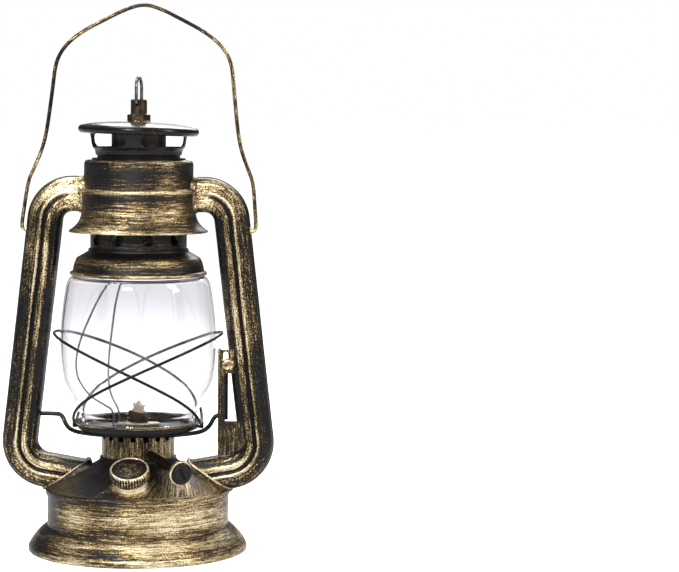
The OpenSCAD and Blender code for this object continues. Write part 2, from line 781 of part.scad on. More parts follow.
module canopy_basket() {
    color("black") difference() {
        spin(concat([[basket_r, neck_top_z - 3]],
            curve([basket_r, neck_top_z - 1], [basket_r + 0.3, neck_top_z + 0.8],
                [basket_r + 1.8, window_z], 4),
            [[basket_r + 3.4, canopy_z - 2]],
            curve([basket_r + 3.7, canopy_z - 1], [basket_r + 4.4, canopy_z + 1.3],
                [canopy_r - 4.8, canopy_z + 1.8], 4)));
        for (a = post_turn) rotate([0, 0, a + strut_half]) rotate_extrude(angle = 90 - 2 * strut_half)
            translate([basket_r - 4, window_z]) square([20, window_h - 1]);
    }
}

module canopy_cap() {
    color("black") difference() {
        spin(concat(arc([canopy_r - 2.6, canopy_z + 0.9], 2.6, -120, 60, 8),
            curve([canopy_r - 7, cap_top_z - 1.6], [canopy_r - 16, cap_top_z], [10, cap_top_z], 5),
            [[0.5, cap_top_z]]));
        translate([0, 0, cap_top_z - 3]) cylinder(r = nipple_r, h = 6);
    }
}

nipple_low = cap_top_z - 9;
nipple_top = block_z + 5;

module hanger_nipple() {
    color("silver") ring(nipple_r, nipple_r - 1.4, nipple_low, nipple_top - nipple_low);
}

module hanger_washer() {
    color("darkgoldenrod") ring(nipple_r + 2.7, nipple_r, cap_top_z, nut_z - cap_top_z);
}

module hanger_nut() {
    color("saddlebrown") translate([0, 0, nut_z]) difference() {
        cylinder(r = (nipple_r + 1.8) / cos(30), h = block_z - nut_z, $fn = 6);
        translate([0, 0, -1]) cylinder(r = nipple_r, h = block_z - nut_z + 2);
    }
}

module at_ring_pin() {
    translate([0, 0, ring_z]) rotate([0, 0, -ring_turn]) rotate([90, 0, 0]) children();
}

pin_r = ring_r + 0.05;

module hook_block() {
    color("saddlebrown") difference() {
        rotate_extrude() polygon([[0, block_z], [block_r + 0.6, block_z], [block_r, block_z + 0.8],
            [block_r, block_z + block_h - 0.6], [block_r - 0.6, block_z + block_h], [0, block_z + block_h]]);
        translate([0, 0, block_z - 1]) cylinder(r = nipple_r, h = nipple_top - block_z + 1);
        at_ring_pin() cylinder(r = pin_r + run, h = 4 * block_r, center = true);
    }
}

loop_half = block_r + slide + ring_r + 0.3;
loop_rise = 17.5 - loop_half;

module hang_ring() {
    color("dimgray") at_ring_pin() {
        wire(concat([[0, 0, -loop_half], [0, loop_rise * 0.5, -loop_half]],
            [for (a = [180:-15:0]) [0, loop_rise + loop_half * sin(a), loop_half * cos(a)]],
            [[0, loop_rise * 0.5, loop_half], [0, 0, loop_half]]), ring_r, [1, 0, 0]);
        cylinder(r = pin_r, h = 2 * (loop_half + ring_r), center = true);
    }
}

pivot_z = crown_z + 1;
bail_pin_r = bail_r + 0.1;
eyelet_r = bail_pin_r + 1.6;
bail_half = tube_outer_x(pivot_z) + 3.4;

module bail_pivot() {
    translate([tube_outer_x(pivot_z), 0, pivot_z]) rotate([0, 90, 0]) children();
}

module bail_eyelets() {
    color("gold") for (m = [0, 1]) mirror([m, 0, 0]) bail_pivot() difference() {
        translate([0, 0, -2.4]) cylinder(r = eyelet_r, h = 3);
        cylinder(r = bail_pin_r + run, h = 12, center = true);
    }
}

// Sideways step of the bail at height h above its pivots
function bail_step(h) = bail_lean * (1 - (1 - h / bail_h) ^ 2);

module bail() {
    half = [[24.6, bail_h - 10], [40, bail_h - 18], [50.3, bail_h - 26], [56, bail_h - 34], [58.6, bail_h - 42],
        [59.8, bail_h - 54], [61.6, bail_h - 70], [63.6, bail_h - 86], [66.5, bail_h - 98], [71.5, bail_h - 110]];
    side = concat([for (p = half) [p[0] + bail_half - 77.8, 0, pivot_z + p[1]]],
        [[bail_half - 3, 0, pivot_z + bail_h - 118], [bail_half - 1, 0, pivot_z + 14], [bail_half, 0, pivot_z + 5],
        [bail_half - 0.2, 0, pivot_z + 1], [bail_half - 2.2, 0, pivot_z]]);
    even = concat([for (i = [len(side) - 1:-1:0]) [-side[i][0], 0, side[i][2]]],
        [[-12, 0, pivot_z + bail_h - 3.6], [0, 0, pivot_z + bail_h], [12, 0, pivot_z + bail_h - 3.6]], side);
    path = [for (p = even) p + [bail_step(p[2] - pivot_z), 0, 0]];
    color("tan") {
        wire(rounded(path), bail_r, [0, 1, 0], false, 10);
        for (m = [0, 1]) mirror([m, 0, 0]) bail_pivot() translate([0, 0, -4]) cylinder(r = bail_pin_r, h = 6);
    }
}

// Lampholder -----------------------------------------------------------------

holder_top = cap_top_z - sheet;
holder_split = holder_top - 24;
skirt_h = 32;
skirt_r = holder_r + 1;
holder_wall = 1.6;
holder_low = holder_split - skirt_h;
base_h = 7;
lamp_wall = 1.1;
base_z = holder_split - base_h;

module holder_cap() {
    color("saddlebrown") difference() {
        rotate_extrude() polygon(sheet_on(concat([[holder_r, holder_split], [holder_r, holder_top - 9]],
            curve([holder_r, holder_top - 6], [holder_r - 0.5, holder_top - 4],
                [nipple_r + 3, holder_top - 3], 5),
            [[nipple_r + 2.4, holder_top], [nipple_r, holder_top]]), holder_wall));
        translate([0, 0, holder_top - 12]) cylinder(r = nipple_r, h = 20);
    }
}

module holder_skirt() {
    color("saddlebrown") spin([[skirt_r - 0.8, holder_low], [skirt_r, holder_low + 1], [skirt_r, holder_split],
        [holder_r - holder_wall, holder_split]], holder_wall);
}

module contact_base() {
    color("ivory") difference() {
        translate([0, 0, base_z]) cylinder(r = skirt_r - holder_wall, h = base_h - holder_wall);
        for (p = lead_tops) translate([p[0], p[1], base_z - 1]) cylinder(r = lead_r, h = 4, $fn = 24);
        translate([0, 0, base_z - 1]) cylinder(r = 2, h = 3);
    }
}

module lamp_thread() {
    color("gold") ring(lamp_r + lamp_wall, lamp_r, base_z - lamp_len, lamp_len);
}

module centre_contact() {
    color("gold") {
        translate([0, 0, base_z - 2]) cylinder(r = 2, h = 4);
        translate([-4.5, -2, base_z - 2.8]) cube([9, 4, 0.8]);
    }
}

module side_contact() {
    color("silver") translate([8, -2, base_z - 0.8]) cube([lamp_r - 8.2, 4, 0.8]);
}

lead_path_r = (lamp_r + lamp_wall + skirt_r - holder_wall) / 2;
lead_tops = [lead_path_r * [-0.82, 0.57], lead_path_r * [-0.56, 0.83]];
lead_end_z = terminal_z + 4;
hang_z = globe_z + 97;

module lead_wire_live() {
    p = lead_tops[0];
    color("black") wire(rounded([[p[0], p[1], base_z + 3], [p[0], p[1], holder_low - 2], [-15.5, 10, holder_low - 16],
        [-19, 9, hang_z + 14], [-20, 9, hang_z], [-28, 8, hang_z - 13], [-35, 8, hang_z - 28], [-41, 8, hang_z - 43],
        [-43.5, 8, hang_z - 57], [-41, 8, hang_z - 69], [-33, 8, hang_z - 79], [-24, 8, globe_z + 13],
        [lead_live[0], lead_live[1], globe_z + 9], [lead_live[0], lead_live[1], drum_top_z],
        [lead_live[0], lead_live[1], drum_foot_z - 1], [lead_live[0], lead_live[1], drum_foot_z - 5],
        [-11, terminal_y * 0.5, drum_foot_z - 18],
        [-pole_x, terminal_y, lead_end_z + 20], [-pole_x, terminal_y, lead_end_z]]), lead_r, [0, 1, 0.01], false, 6);
}

module lead_wire_neutral() {
    p = lead_tops[1];
    color("black") wire(rounded([[p[0], p[1], base_z + 3], [p[0], p[1], holder_low - 2], [-10, 14.5, holder_low - 16],
        [-12.6, 15, hang_z + 14], [-13, 15, hang_z], [-17, 15, hang_z - 16], [-19, 15, hang_z - 32],
        [-21, 15, hang_z - 48], [-22, 15, hang_z - 66], [-20, 14, hang_z - 79],
        [lead_neutral[0], lead_neutral[1], globe_z + 9], [lead_neutral[0], lead_neutral[1], drum_top_z],
        [lead_neutral[0], lead_neutral[1], drum_foot_z - 1], [lead_neutral[0], lead_neutral[1], drum_foot_z - 5],
        [-4, terminal_y * 0.6, drum_foot_z - 18],
        [pole_x, terminal_y, lead_end_z + 20], [pole_x, terminal_y, lead_end_z]]), lead_r, [0, 1, 0.01], false, 6);
}

fount_base();
bottom_plate();
fount_dome();
cable_grommet();
terminal_block();
filler_neck();
filler_gasket();
filler_cap();
burner_drum();
burner_floor();
burner_cap();
wick_tube();
wick();
wick_spindle();
wick_wheels();
spindle_sleeve();
wick_knob();
knob_face();
globe_plate();
globe();
guard_wire_left();
guard_wire_right();
guard_clips();
lifter_wire();
lift_slider();
lift_eye();
lift_bracket();
left_tube_front();
left_tube_rear();
right_tube_front();
right_tube_rear();
left_tube_shoe();
right_tube_shoe();
bell();
bell_collar();
bell_spring();
crown();
crown_top();
bell_guide();
canopy_basket();
canopy_cap();
hanger_nipple();
hanger_washer();
hanger_nut();
hook_block();
hang_ring();
bail();
bail_eyelets();
holder_cap();
holder_skirt();
lamp_thread();
contact_base();
centre_contact();
side_contact();
lead_wire_live();
lead_wire_neutral();
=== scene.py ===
"""Looks of the railway lantern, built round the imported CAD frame.

Lengths in the helpers are in millimetres.
"""

import math

import bpy
from mathutils import Matrix, Vector, noise


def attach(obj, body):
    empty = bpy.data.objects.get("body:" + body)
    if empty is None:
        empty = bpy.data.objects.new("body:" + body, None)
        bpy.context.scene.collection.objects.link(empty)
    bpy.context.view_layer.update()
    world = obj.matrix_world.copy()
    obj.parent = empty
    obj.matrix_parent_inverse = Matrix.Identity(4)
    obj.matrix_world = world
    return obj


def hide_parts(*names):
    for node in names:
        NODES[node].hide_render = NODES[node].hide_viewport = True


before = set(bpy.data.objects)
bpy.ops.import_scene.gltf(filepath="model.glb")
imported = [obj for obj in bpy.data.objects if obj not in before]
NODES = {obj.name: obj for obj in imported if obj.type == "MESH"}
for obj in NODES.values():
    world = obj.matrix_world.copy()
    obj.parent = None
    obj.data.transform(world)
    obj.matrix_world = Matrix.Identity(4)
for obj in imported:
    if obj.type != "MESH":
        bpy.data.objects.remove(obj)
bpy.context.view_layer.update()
MM = 0.001

# Sizes of part.scad that the pieces share
FOOT_R, FOOT_H, FOUNT_R, SEAM_Z = 73.0, 17.5, 60.5, 41.0
SHEET = 1.2
DOME_R = FOUNT_R + SHEET
DOME_MID = (34.5, 55.5)
DOME_TILT = math.degrees(math.atan2(DOME_MID[1] - SEAM_Z, DOME_R - DOME_MID[0]))
FILLER_REACH, FILLER_TURN = 46.8, -1.0
DRUM_TOP, BURNER_R = 80.0, 14.5
PLATE_Z, PLATE_R = 81.5, 40.5
SPINDLE_TURN, SPINDLE_TILT, KNOB_REACH = 36.0, 11.0, 60.0
GLOBE_Z, GLOBE_H, GLOBE_R = 82.7, 109.0, 52.5
BELL_Z, BELL_TOP, BELL_RIM_R, COLLAR_R = 184.6, 201.6, 45.2, 32.0
CROWN_Z, RIDGE_Z, CROWN_TOP, CROWN_R = 212.6, 239.6, 260.6, 38.0
NECK_TOP, WINDOW_Z, CANOPY_Z, CAP_TOP, CANOPY_R = 266.6, 268.6, 279.1, 285.6, 40.0
BLOCK_R, RING_Z, RING_TURN = 5.4, 297.6, 9.0
PIVOT_Z, BAIL_H, BAIL_LEAN = 213.6, 150.0, 3.4
TUBE_W, TUBE_D, TUBE_K = 23.0, 20.0, 6.5
UPPER_R, LOWER_R, STUB_TILT = 18.0, 20.0, 10.0
UPPER_C = (CROWN_R + 6.05, CROWN_Z + 25 - UPPER_R)
LOWER_C = (FOUNT_R - 1.6, SEAM_Z + 11.5 + LOWER_R)


# Materials ------------------------------------------------------------------


class Net:
    """A node material under construction."""

    def __init__(self, name):
        self.mat = bpy.data.materials.new(name)
        self.mat.use_nodes = True
        self.tree = self.mat.node_tree
        self.tree.nodes.clear()
        self.out = self.tree.nodes.new("ShaderNodeOutputMaterial")
        self.shader = self.tree.nodes.new("ShaderNodeBsdfPrincipled")
        self.tree.links.new(self.shader.outputs[0], self.out.inputs["Surface"])

    def put(self, socket, value):
        if isinstance(value, bpy.types.NodeSocket):
            self.tree.links.new(value, socket)
        elif hasattr(value, "__len__") and len(value) == 3 and socket.type == "RGBA":
            socket.default_value = (*value, 1.0)
        else:
            socket.default_value = value

    def set(self, **values):
        for name, value in values.items():
            self.put(self.shader.inputs[name.replace("_", " ")], value)

    def coordinates(self, source, stretch=(1, 1, 1)):
        if source == "object":
            raw = self.tree.nodes.new("ShaderNodeTexCoord").outputs["Object"]
        else:
            attribute = self.tree.nodes.new("ShaderNodeAttribute")
            attribute.attribute_name = source
            raw = attribute.outputs["Vector"]
        if stretch == (1, 1, 1):
            return raw
        mapping = self.tree.nodes.new("ShaderNodeMapping")
        mapping.inputs["Scale"].default_value = stretch
        self.put(mapping.inputs["Vector"], raw)
        return mapping.outputs[0]

    def number(self, attribute_name):
        attribute = self.tree.nodes.new("ShaderNodeAttribute")
        attribute.attribute_name = attribute_name
        return attribute.outputs["Fac"]

    def seen_ray(self):
        """1 for what the camera sees straight, less for what it sees through glass."""
        kind = self.tree.nodes.new("ShaderNodeLightPath")
        return self.total((kind.outputs["Is Camera Ray"], 1.0), (kind.outputs["Is Transmission Ray"], 0.62))

    def noise(self, vector, scale, detail=2.0, roughness=0.5, distortion=0.0):
        n = self.tree.nodes.new("ShaderNodeTexNoise")
        self.put(n.inputs["Vector"], vector)
        n.inputs["Scale"].default_value = scale
        n.inputs["Detail"].default_value = detail
        n.inputs["Roughness"].default_value = roughness
        n.inputs["Distortion"].default_value = distortion
        return n.outputs["Fac"]

    def math(self, operation, a, b=0.0, c=0.0):
        n = self.tree.nodes.new("ShaderNodeMath")
        n.operation = operation
        for socket, value in zip(n.inputs, (a, b, c)):
            self.put(socket, value)
        return n.outputs[0]

    def total(self, *parts):
        """Weighted sum: parts are (socket, weight)."""
        out = None
        for socket, weight in parts:
            out = self.math("MULTIPLY_ADD", socket, weight, 0.0 if out is None else out)
        return out

    def step(self, value, low, high, a=0.0, b=1.0):
        n = self.tree.nodes.new("ShaderNodeMapRange")
        n.interpolation_type = "SMOOTHSTEP"
        self.put(n.inputs["Value"], value)
        for name, v in (("From Min", low), ("From Max", high), ("To Min", a), ("To Max", b)):
            self.put(n.inputs[name], v)
        return n.outputs[0]

    def blend(self, share, a, b):
        n = self.tree.nodes.new("ShaderNodeMix")
        n.data_type = "RGBA"
        self.put(n.inputs[0], share)
        self.put(n.inputs[6], a)
        self.put(n.inputs[7], b)
        return n.outputs[2]

    def bump(self, height, distance, strength=1.0):
        n = self.tree.nodes.new("ShaderNodeBump")
        n.inputs["Distance"].default_value = distance
        n.inputs["Strength"].default_value = strength
        self.put(n.inputs["Height"], height)
        self.put(self.shader.inputs["Normal"], n.outputs[0])


BLACK = (0.0045, 0.0043, 0.0048)
BRONZE = (0.040, 0.027, 0.013)
GOLD = (0.33, 0.228, 0.092)
# Cream for the heaviest gold, standing in for glints: painted highlight.
GLINT_CREAM = (0.92, 0.80, 0.54)
BARE_LEVEL = 1.415  # the noise sum above which gold shows, before weight, speck and cover


def brushed(name, source="flow", stretch=(1, 1, 1), cover=0.0, stroke=36, weight=1.0, speck=0.0):
    """Black lacquer with antique gold dragged over it by a nearly dry brush. The heaviest gold turns cream as painted
    glints, and where the finish follows the flow attribute, the per-vertex gold bias also adds the painted light and
    shade that some pieces carry.

    cover is how much more gold there is, stroke how fine the strokes are, weight how patchy and speck how grainy.
    """
    net = Net(name)
    flow = net.coordinates(source, stretch)
    place = net.coordinates("object")
    wide = net.noise(flow, stroke, 4.0, 0.68)
    fine = net.noise(flow, stroke * 4.2, 3.0, 0.66)
    patch = net.noise(place, 17.0, 2.0, 0.5)
    grain = net.noise(place, 1100.0, 1.0, 0.5)
    parts = [(wide, 1.1), (fine, 1.15), (patch, weight), (grain, 0.5 + speck)]
    if source == "flow":
        parts.append((net.number("gold"), 0.55))
    mark = net.total(*parts)
    level = BARE_LEVEL + 0.5 * weight + 0.5 * speck - cover
    film = net.step(mark, level - 0.14, level + 0.03)
    paint = net.step(mark, level, level + 0.12)
    # The top of the mark turns the gold cream: painted glints.
    cream_glint = net.step(mark, level + 0.15, level + 0.33)
    colour = net.blend(film, BLACK, BRONZE)
    colour = net.blend(paint, colour, GOLD)
    colour = net.blend(cream_glint, colour, GLINT_CREAM)
    metal = net.total((film, 0.35), (paint, 0.55))
    rough = net.total((grain, 0.16), (fine, 0.26))
    rough = net.math("ADD", rough, 0.10)
    net.set(Base_Color=colour, Metallic=metal, Roughness=rough, Specular_IOR_Level=0.22)
    net.bump(net.total((fine, 0.6), (grain, 0.3), (wide, 0.5)), 0.00034, 0.85)
    return net.mat


def lacquer(name, colour=(0.006, 0.0057, 0.006), rough=0.3, fleck=0.0):
    """Black lacquer with light orange-peel, and gold flecks where fleck is above 0."""
    net = Net(name)
    place = net.coordinates("object")
    peel = net.noise(place, 420.0, 2.0)
    grain = net.noise(place, 1500.0, 1.0)
    patch = net.noise(place, 30.0, 2.0)
    mark = net.step(net.total((grain, 1.0), (patch, 0.9), (peel, 0.3)), 1.38 - fleck, 1.5 - fleck)
    net.set(Base_Color=net.blend(mark, colour, GOLD), Metallic=net.math("MULTIPLY", mark, 0.9),
            Roughness=net.total((peel, 0.2), (patch, rough)), Specular_IOR_Level=0.2)
    net.bump(peel, 0.00012, 0.4)
    return net.mat


def plain(name, colour, metallic=0.0, rough=0.4, grain=300.0, vary=0.25, bump=0.0001, **extra):
    """One substance with mottled colour and roughness."""
    net = Net(name)
    place = net.coordinates("object")
    n = net.noise(place, grain, 3.0, 0.6)
    dark = tuple(c * (1 - vary) for c in colour)
    light = tuple(min(1.0, c * (1 + vary)) for c in colour)
    net.set(Base_Color=net.blend(net.step(n, 0.3, 0.7), dark, light), Metallic=metallic,
            Roughness=net.math("MULTIPLY_ADD", n, 0.3 * rough, 0.85 * rough), **extra)
    net.bump(n, bump, 0.5)
    return net.mat


STRETCH = 26.0
AROUND = (1, 1, STRETCH)
UPRIGHT = (STRETCH, STRETCH, 1)

mat_around = brushed("brushed_around")
mat_tube = brushed("brushed_tube", cover=-0.01, speck=0.5)
mat_dome = brushed("brushed_dome", cover=-0.02)
mat_wire = brushed("brushed_wire", stroke=60, cover=-0.02)
mat_dark_wire = brushed("brushed_dark_wire", stroke=60, cover=-0.30)
mat_cast = brushed("brushed_cast", stroke=160, cover=0.02)
mat_cad_around = brushed("brushed_cad_around", "object", AROUND, cover=-0.22)
mat_cad_up = brushed("brushed_cad_up", "object", UPRIGHT, cover=-0.04)
mat_drum = brushed("brushed_drum", "object", UPRIGHT, cover=0.12, weight=0.6)
mat_edge = brushed("brushed_edge", "object", cover=0.12, stroke=200)
mat_edge_flow = brushed("brushed_flange", cover=0.05, stroke=120)
mat_lacquer = lacquer("black_lacquer")
mat_fleck = lacquer("flecked_lacquer", fleck=0.08)
mat_nut = plain("brown_bronze", (0.050, 0.033, 0.019), 0.7, 0.36, 500.0, 0.75, 0.0002)
mat_steel = plain("ring_steel", (0.17, 0.165, 0.16), 1.0, 0.32, 260.0, 0.4)
mat_spring = plain("spring_steel", (0.45, 0.45, 0.46), 1.0, 0.3)
mat_brass = plain("raw_brass", (0.62, 0.46, 0.2), 1.0, 0.32)
mat_bakelite = plain("brown_bakelite", (0.075, 0.048, 0.034), 0.0, 0.42, 120.0, 0.3)
mat_plastic = plain("black_plastic", (0.006, 0.006, 0.007), 0.0, 0.3, 700.0, 0.2, 0.00015,
                    Specular_IOR_Level=0.18)
mat_white = plain("white_steatite", (0.78, 0.76, 0.70), 0.0, 0.5)
mat_rubber = plain("black_rubber", (0.02, 0.02, 0.02), 0.0, 0.7, 900.0)
mat_copper = plain("copper_brown", (0.014, 0.008, 0.006), 0.5, 0.4, 400.0, 0.4, Specular_IOR_Level=0.25)
mat_wick = plain("wick_cotton", (0.56, 0.43, 0.35), 0.0, 0.9, 1600.0, 0.4, 0.0004)
mat_lead = plain("wire_insulation", (0.12, 0.12, 0.13), 0.0, 0.4)

glass = Net("clear_glass")
glass.set(Base_Color=(0.93, 0.925, 0.95), Roughness=0.015, IOR=1.45, Transmission_Weight=1.0)
streak = glass.noise(glass.coordinates("object", (1, 1, 0.25)), 70.0, 2.0)
glass.bump(streak, 0.0002, 0.12)
mat_glass = glass.mat


# Shapes -----------------------------------------------------------------------


def curve(a, b, c, n=8):
    """Points of a smooth bend from a to c that heads for b."""
    out = []
    for i in range(n + 1):
        t = i / n
        out.append(tuple(p * (1 - t) ** 2 + q * 2 * t * (1 - t) + r * t * t for p, q, r in zip(a, b, c)))
    return out


def arc(centre, r, start, end, n=8):
    out = []
    for i in range(n + 1):
        a = math.radians(start + (end - start) * i / n)
        out.append((centre[0] + r * math.cos(a), centre[1] + r * math.sin(a)))
    return out


def rounded(points, times=2, closed=False):
    """An open path with its corners cut."""
    for _ in range(times):
        out = [] if closed else [points[0]]
        ends = zip(points, points[1:] + points[:1]) if closed else zip(points, points[1:])
        for p, q in ends:
            out.append(tuple(a * 0.75 + b * 0.25 for a, b in zip(p, q)))
            out.append(tuple(a * 0.25 + b * 0.75 for a, b in zip(p, q)))
        points = out if closed else out + [points[-1]]
    return points


def spaced(points, step):
    """The same path with no stretch longer than step."""
    out = [points[0]]
    for p, q in zip(points, points[1:]):
        n = max(1, math.ceil(math.dist(p, q) / step))
        out += [tuple(a + (b - a) * i / n for a, b in zip(p, q)) for i in range(1, n + 1)]
    return out


def sheet_on(path, t):
    """Closed outline of a sheet of thickness t on the left of a path, with rounded edges."""
    left = []
    last = len(path) - 1
    for i, p in enumerate(path):
        a = Vector(path[max(i, 1)]) - Vector(path[max(i, 1) - 1])
        b = Vector(path[min(i, last - 1) + 1]) - Vector(path[min(i, last - 1)])
        a.normalize()
        b.normalize()
        m = (a + b).normalized()
        k = t / max(0.4, m.dot(a))
        left.append((p[0] - m.y * k, p[1] + m.x * k))

    def cap(p, q, ahead):
        return [((p[0] + q[0]) / 2 + ahead[0] * t * 0.35, (p[1] + q[1]) / 2 + ahead[1] * t * 0.35)]

    end = (Vector(path[-1]) - Vector(path[-2])).normalized()
    start = (Vector(path[0]) - Vector(path[1])).normalized()
    return path + cap(path[-1], left[-1], end) + left[::-1] + cap(left[0], path[0], start)


def piece(name, verts, faces, mat, body, replaces=None, slot=None, flow=None, gold=None, matrix=None, sharp=38):
    """A mesh in millimetres that rides on a CAD body.

    flow and gold are per-vertex values for the brushed finish; on some pieces gold also carries painted light and
    shade.
    """
    mesh = bpy.data.meshes.new(name)
    mesh.from_pydata([Vector(v) * MM for v in verts], [], faces)
    if flow is not None:
        layer = mesh.attributes.new("flow", "FLOAT_VECTOR", "POINT")
        layer.data.foreach_set("vector", [c * MM for f in flow for c in f])
    if flow is not None or gold is not None:
        layer = mesh.attributes.new("gold", "FLOAT", "POINT")
        layer.data.foreach_set("value", gold if gold is not None else [0.0] * len(verts))
    if matrix is not None:
        mesh.transform(matrix)
        if matrix.determinant() < 0:
            mesh.flip_normals()
    mesh.validate()
    mesh.shade_smooth()
    mesh.set_sharp_from_angle(angle=math.radians(sharp))
    obj = bpy.data.objects.new(name, mesh)
    bpy.context.scene.collection.objects.link(obj)
    mesh.materials.append(mat)
    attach(obj, body)
    if replaces:
        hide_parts(replaces)
    return obj


def flow_for(kind, x, y, z, r, along):
    """Where a point lies in the brush strokes: small changes run along a stroke, large ones across it."""
    if kind == "around":
        return (x, y, z * STRETCH)
    if kind == "upright":
        return (x * STRETCH, y * STRETCH, z)
    if r > DOME_R - 1.8:
        return (x, y, z * STRETCH)
    a = math.atan2(y, x) + 0.012 * (r - 40)
    return (math.cos(a) * 40 * STRETCH, math.sin(a) * 40 * STRETCH, along)


def lathe(name, outline, mat, body, kind="around", gold=None, dents=0.0, segments=192, **more):
    """Revolve a closed outline of (radius, height) points.

    gold(r, z, a) biases the gold of the finish, and on some pieces paints light and shade into it; dents is the depth
    of the dents.
    """
    verts, flow, marks, faces = [], [], [], []
    n = len(outline)
    for i in range(segments):
        a = 2 * math.pi * i / segments
        along = 0.0
        for k, (r, z) in enumerate(outline):
            if k:
                along += math.dist(outline[k - 1], outline[k])
            c, s = math.cos(a), math.sin(a)
            push = dents * noise.noise(Vector((c * r * 0.045, s * r * 0.045, z * 0.06)))
            x, y = (r + push) * c, (r + push) * s
            verts.append((x, y, z))
            flow.append(flow_for(kind, x, y, z, r, along))
            marks.append(gold(r, z, math.degrees(a)) if gold else 0.0)
    for i in range(segments):
        j = (i + 1) % segments
        for k in range(n):
            m = (k + 1) % n
            faces.append((i * n + k, j * n + k, j * n + m, i * n + m))
    return piece(name, verts, faces, mat, body, flow=flow, gold=marks, **more)


def frames(points, closed, up=(0, 0, 1)):
    """A pair of side directions at each point of a path, carried along without twist."""
    n = len(points)
    pts = [Vector(p) for p in points]
    heading = []
    for i in range(n):
        if closed:
            d = pts[(i + 1) % n] - pts[i - 1]
        else:
            d = pts[min(i + 1, n - 1)] - pts[max(i - 1, 0)]
        heading.append(d.normalized())
    u = Vector(up).cross(heading[0])
    if u.length < 1e-3:
        u = Vector((1, 0, 0)).cross(heading[0])
    u.normalize()
    out = []
    for h in heading:
        u = (u - h * u.dot(h)).normalized()
        out.append((u.copy(), h.cross(u)))
    if closed:
        first, last = out[0][0], out[-1][0]
        twist = math.atan2(first.cross(last).dot(heading[0]), first.dot(last))
        fixed = []
        for i, (u, v) in enumerate(out):
            a = -twist * i / (n - 1)
            fixed.append((u * math.cos(a) + v * math.sin(a), v * math.cos(a) - u * math.sin(a)))
        out = fixed
    return out


def wire(name, points, radius, mat, body, closed=False, sides=14, gold=None, **more):
    """A round wire with domed ends."""
    n = len(points)
    if not closed:
        start, second, last_but_one, end = (Vector(points[i]) for i in (0, 1, -2, -1))
        before = tuple(start + (start - second).normalized() * radius * 0.5)
        after = tuple(end + (end - last_but_one).normalized() * radius * 0.5)
        points = [before, *points, after]
        n += 2
    sides_of = frames(points, closed)
    verts, flow, marks, faces = [], [], [], []
    run = 0.0
    for i, (p, (u, v)) in enumerate(zip(points, sides_of)):
        if i:
            run += math.dist(points[i - 1], p)
        r = radius * (0.55 if not closed and i in (0, n - 1) else 1.0)
        for k in range(sides):
            a = 2 * math.pi * k / sides
            verts.append(tuple(Vector(p) + u * r * math.cos(a) + v * r * math.sin(a)))
            flow.append((run, r * math.cos(a) * 9, r * math.sin(a) * 9))
            marks.append(gold(run, p) if gold else 0.0)
    for i in range(n if closed else n - 1):
        j = (i + 1) % n
        for k in range(sides):
            m = (k + 1) % sides
            faces.append((i * sides + k, j * sides + k, j * sides + m, i * sides + m))
    if not closed:
        faces.append(tuple(range(sides)))
        faces.append(tuple(range((n - 1) * sides, n * sides))[::-1])
    faces = [f[::-1] for f in faces]
    return piece(name, verts, faces, mat, body, flow=flow, gold=marks, **more)


def bell_of(x, mid, width):
    return math.exp(-(((x - mid) / width) ** 2))


def finish_cad(names, mat, bevel=0.0):
    """Give CAD nodes a finish. A bevel rounds their sharp edges by that many millimetres."""
    for name in names.split():
        obj = NODES[name]
        obj.data.materials.clear()
        obj.data.materials.append(mat)
        if bevel:
            weld = obj.modifiers.new("weld", "WELD")
            weld.merge_threshold = 1e-6
            soft = obj.modifiers.new("soft_edges", "BEVEL")
            soft.width = bevel * MM
            soft.segments = 2
            soft.limit_method = "ANGLE"
            soft.angle_limit = math.radians(35)
            soft.harden_normals = False


# Fount ------------------------------------------------------------------------

FRAME = "lantern_frame"


def front(a, middle=270.0, width=50.0):
    """How much a direction a (degrees) looks toward middle, from 0 to 1. The gold biases use it to paint light and
    shade by side.
    """
    off = abs((a - middle + 180) % 360 - 180)
    return bell_of(off, 0, width)


def fount_gold_and_light(r, z, a):
    g = 0.35 * bell_of(z, 2, 3) + 0.3 * bell_of(r, 66, 4) * bell_of(z, 10, 6) - 0.35 * bell_of(z, 40.5, 1.2)
    g += 0.2 * bell_of(z, 28, 8) - 0.16 * bell_of(z, 17, 2.2) - 0.12 * bell_of(z, 36, 3)
    # The front is lighter and the sides toward 205° and 340° darker: painted light and painted shade.
    return g + 0.16 * front(a) - 0.16 * front(a, 205, 22) - 0.12 * front(a, 340, 20)


base_path = arc((FOOT_R - 1.3, 1.4), 1.3, -150, 0, 6) + [(FOOT_R, 3.2)]
base_path += curve((FOOT_R - 0.7, 4.6), (FOOT_R - 4.9, FOOT_H * 0.7), (FOUNT_R + 1.3, FOOT_H - 1.0), 16)
base_path += [(FOUNT_R + 0.15, FOOT_H), (FOUNT_R, FOOT_H + 1), (FOUNT_R, SEAM_Z - 0.75)]
lathe("fount_wall", sheet_on(spaced(base_path, 2.0), SHEET), mat_around, FRAME, gold=fount_gold_and_light, dents=0.25,
      replaces="fount_base", slot="aged_brass")


def dome_gold_and_light(r, z, a):
    g = 0.1 * bell_of(r, 60.5, 1.6) - 0.7 * bell_of(r, 27, 4.0) - 0.08
    # A band of painted highlight toward 303° and painted shade toward 225°.
    return g + 0.5 * front(a, 303, 18) * bell_of(r, 51, 11) - 0.12 * front(a, 225, 30)


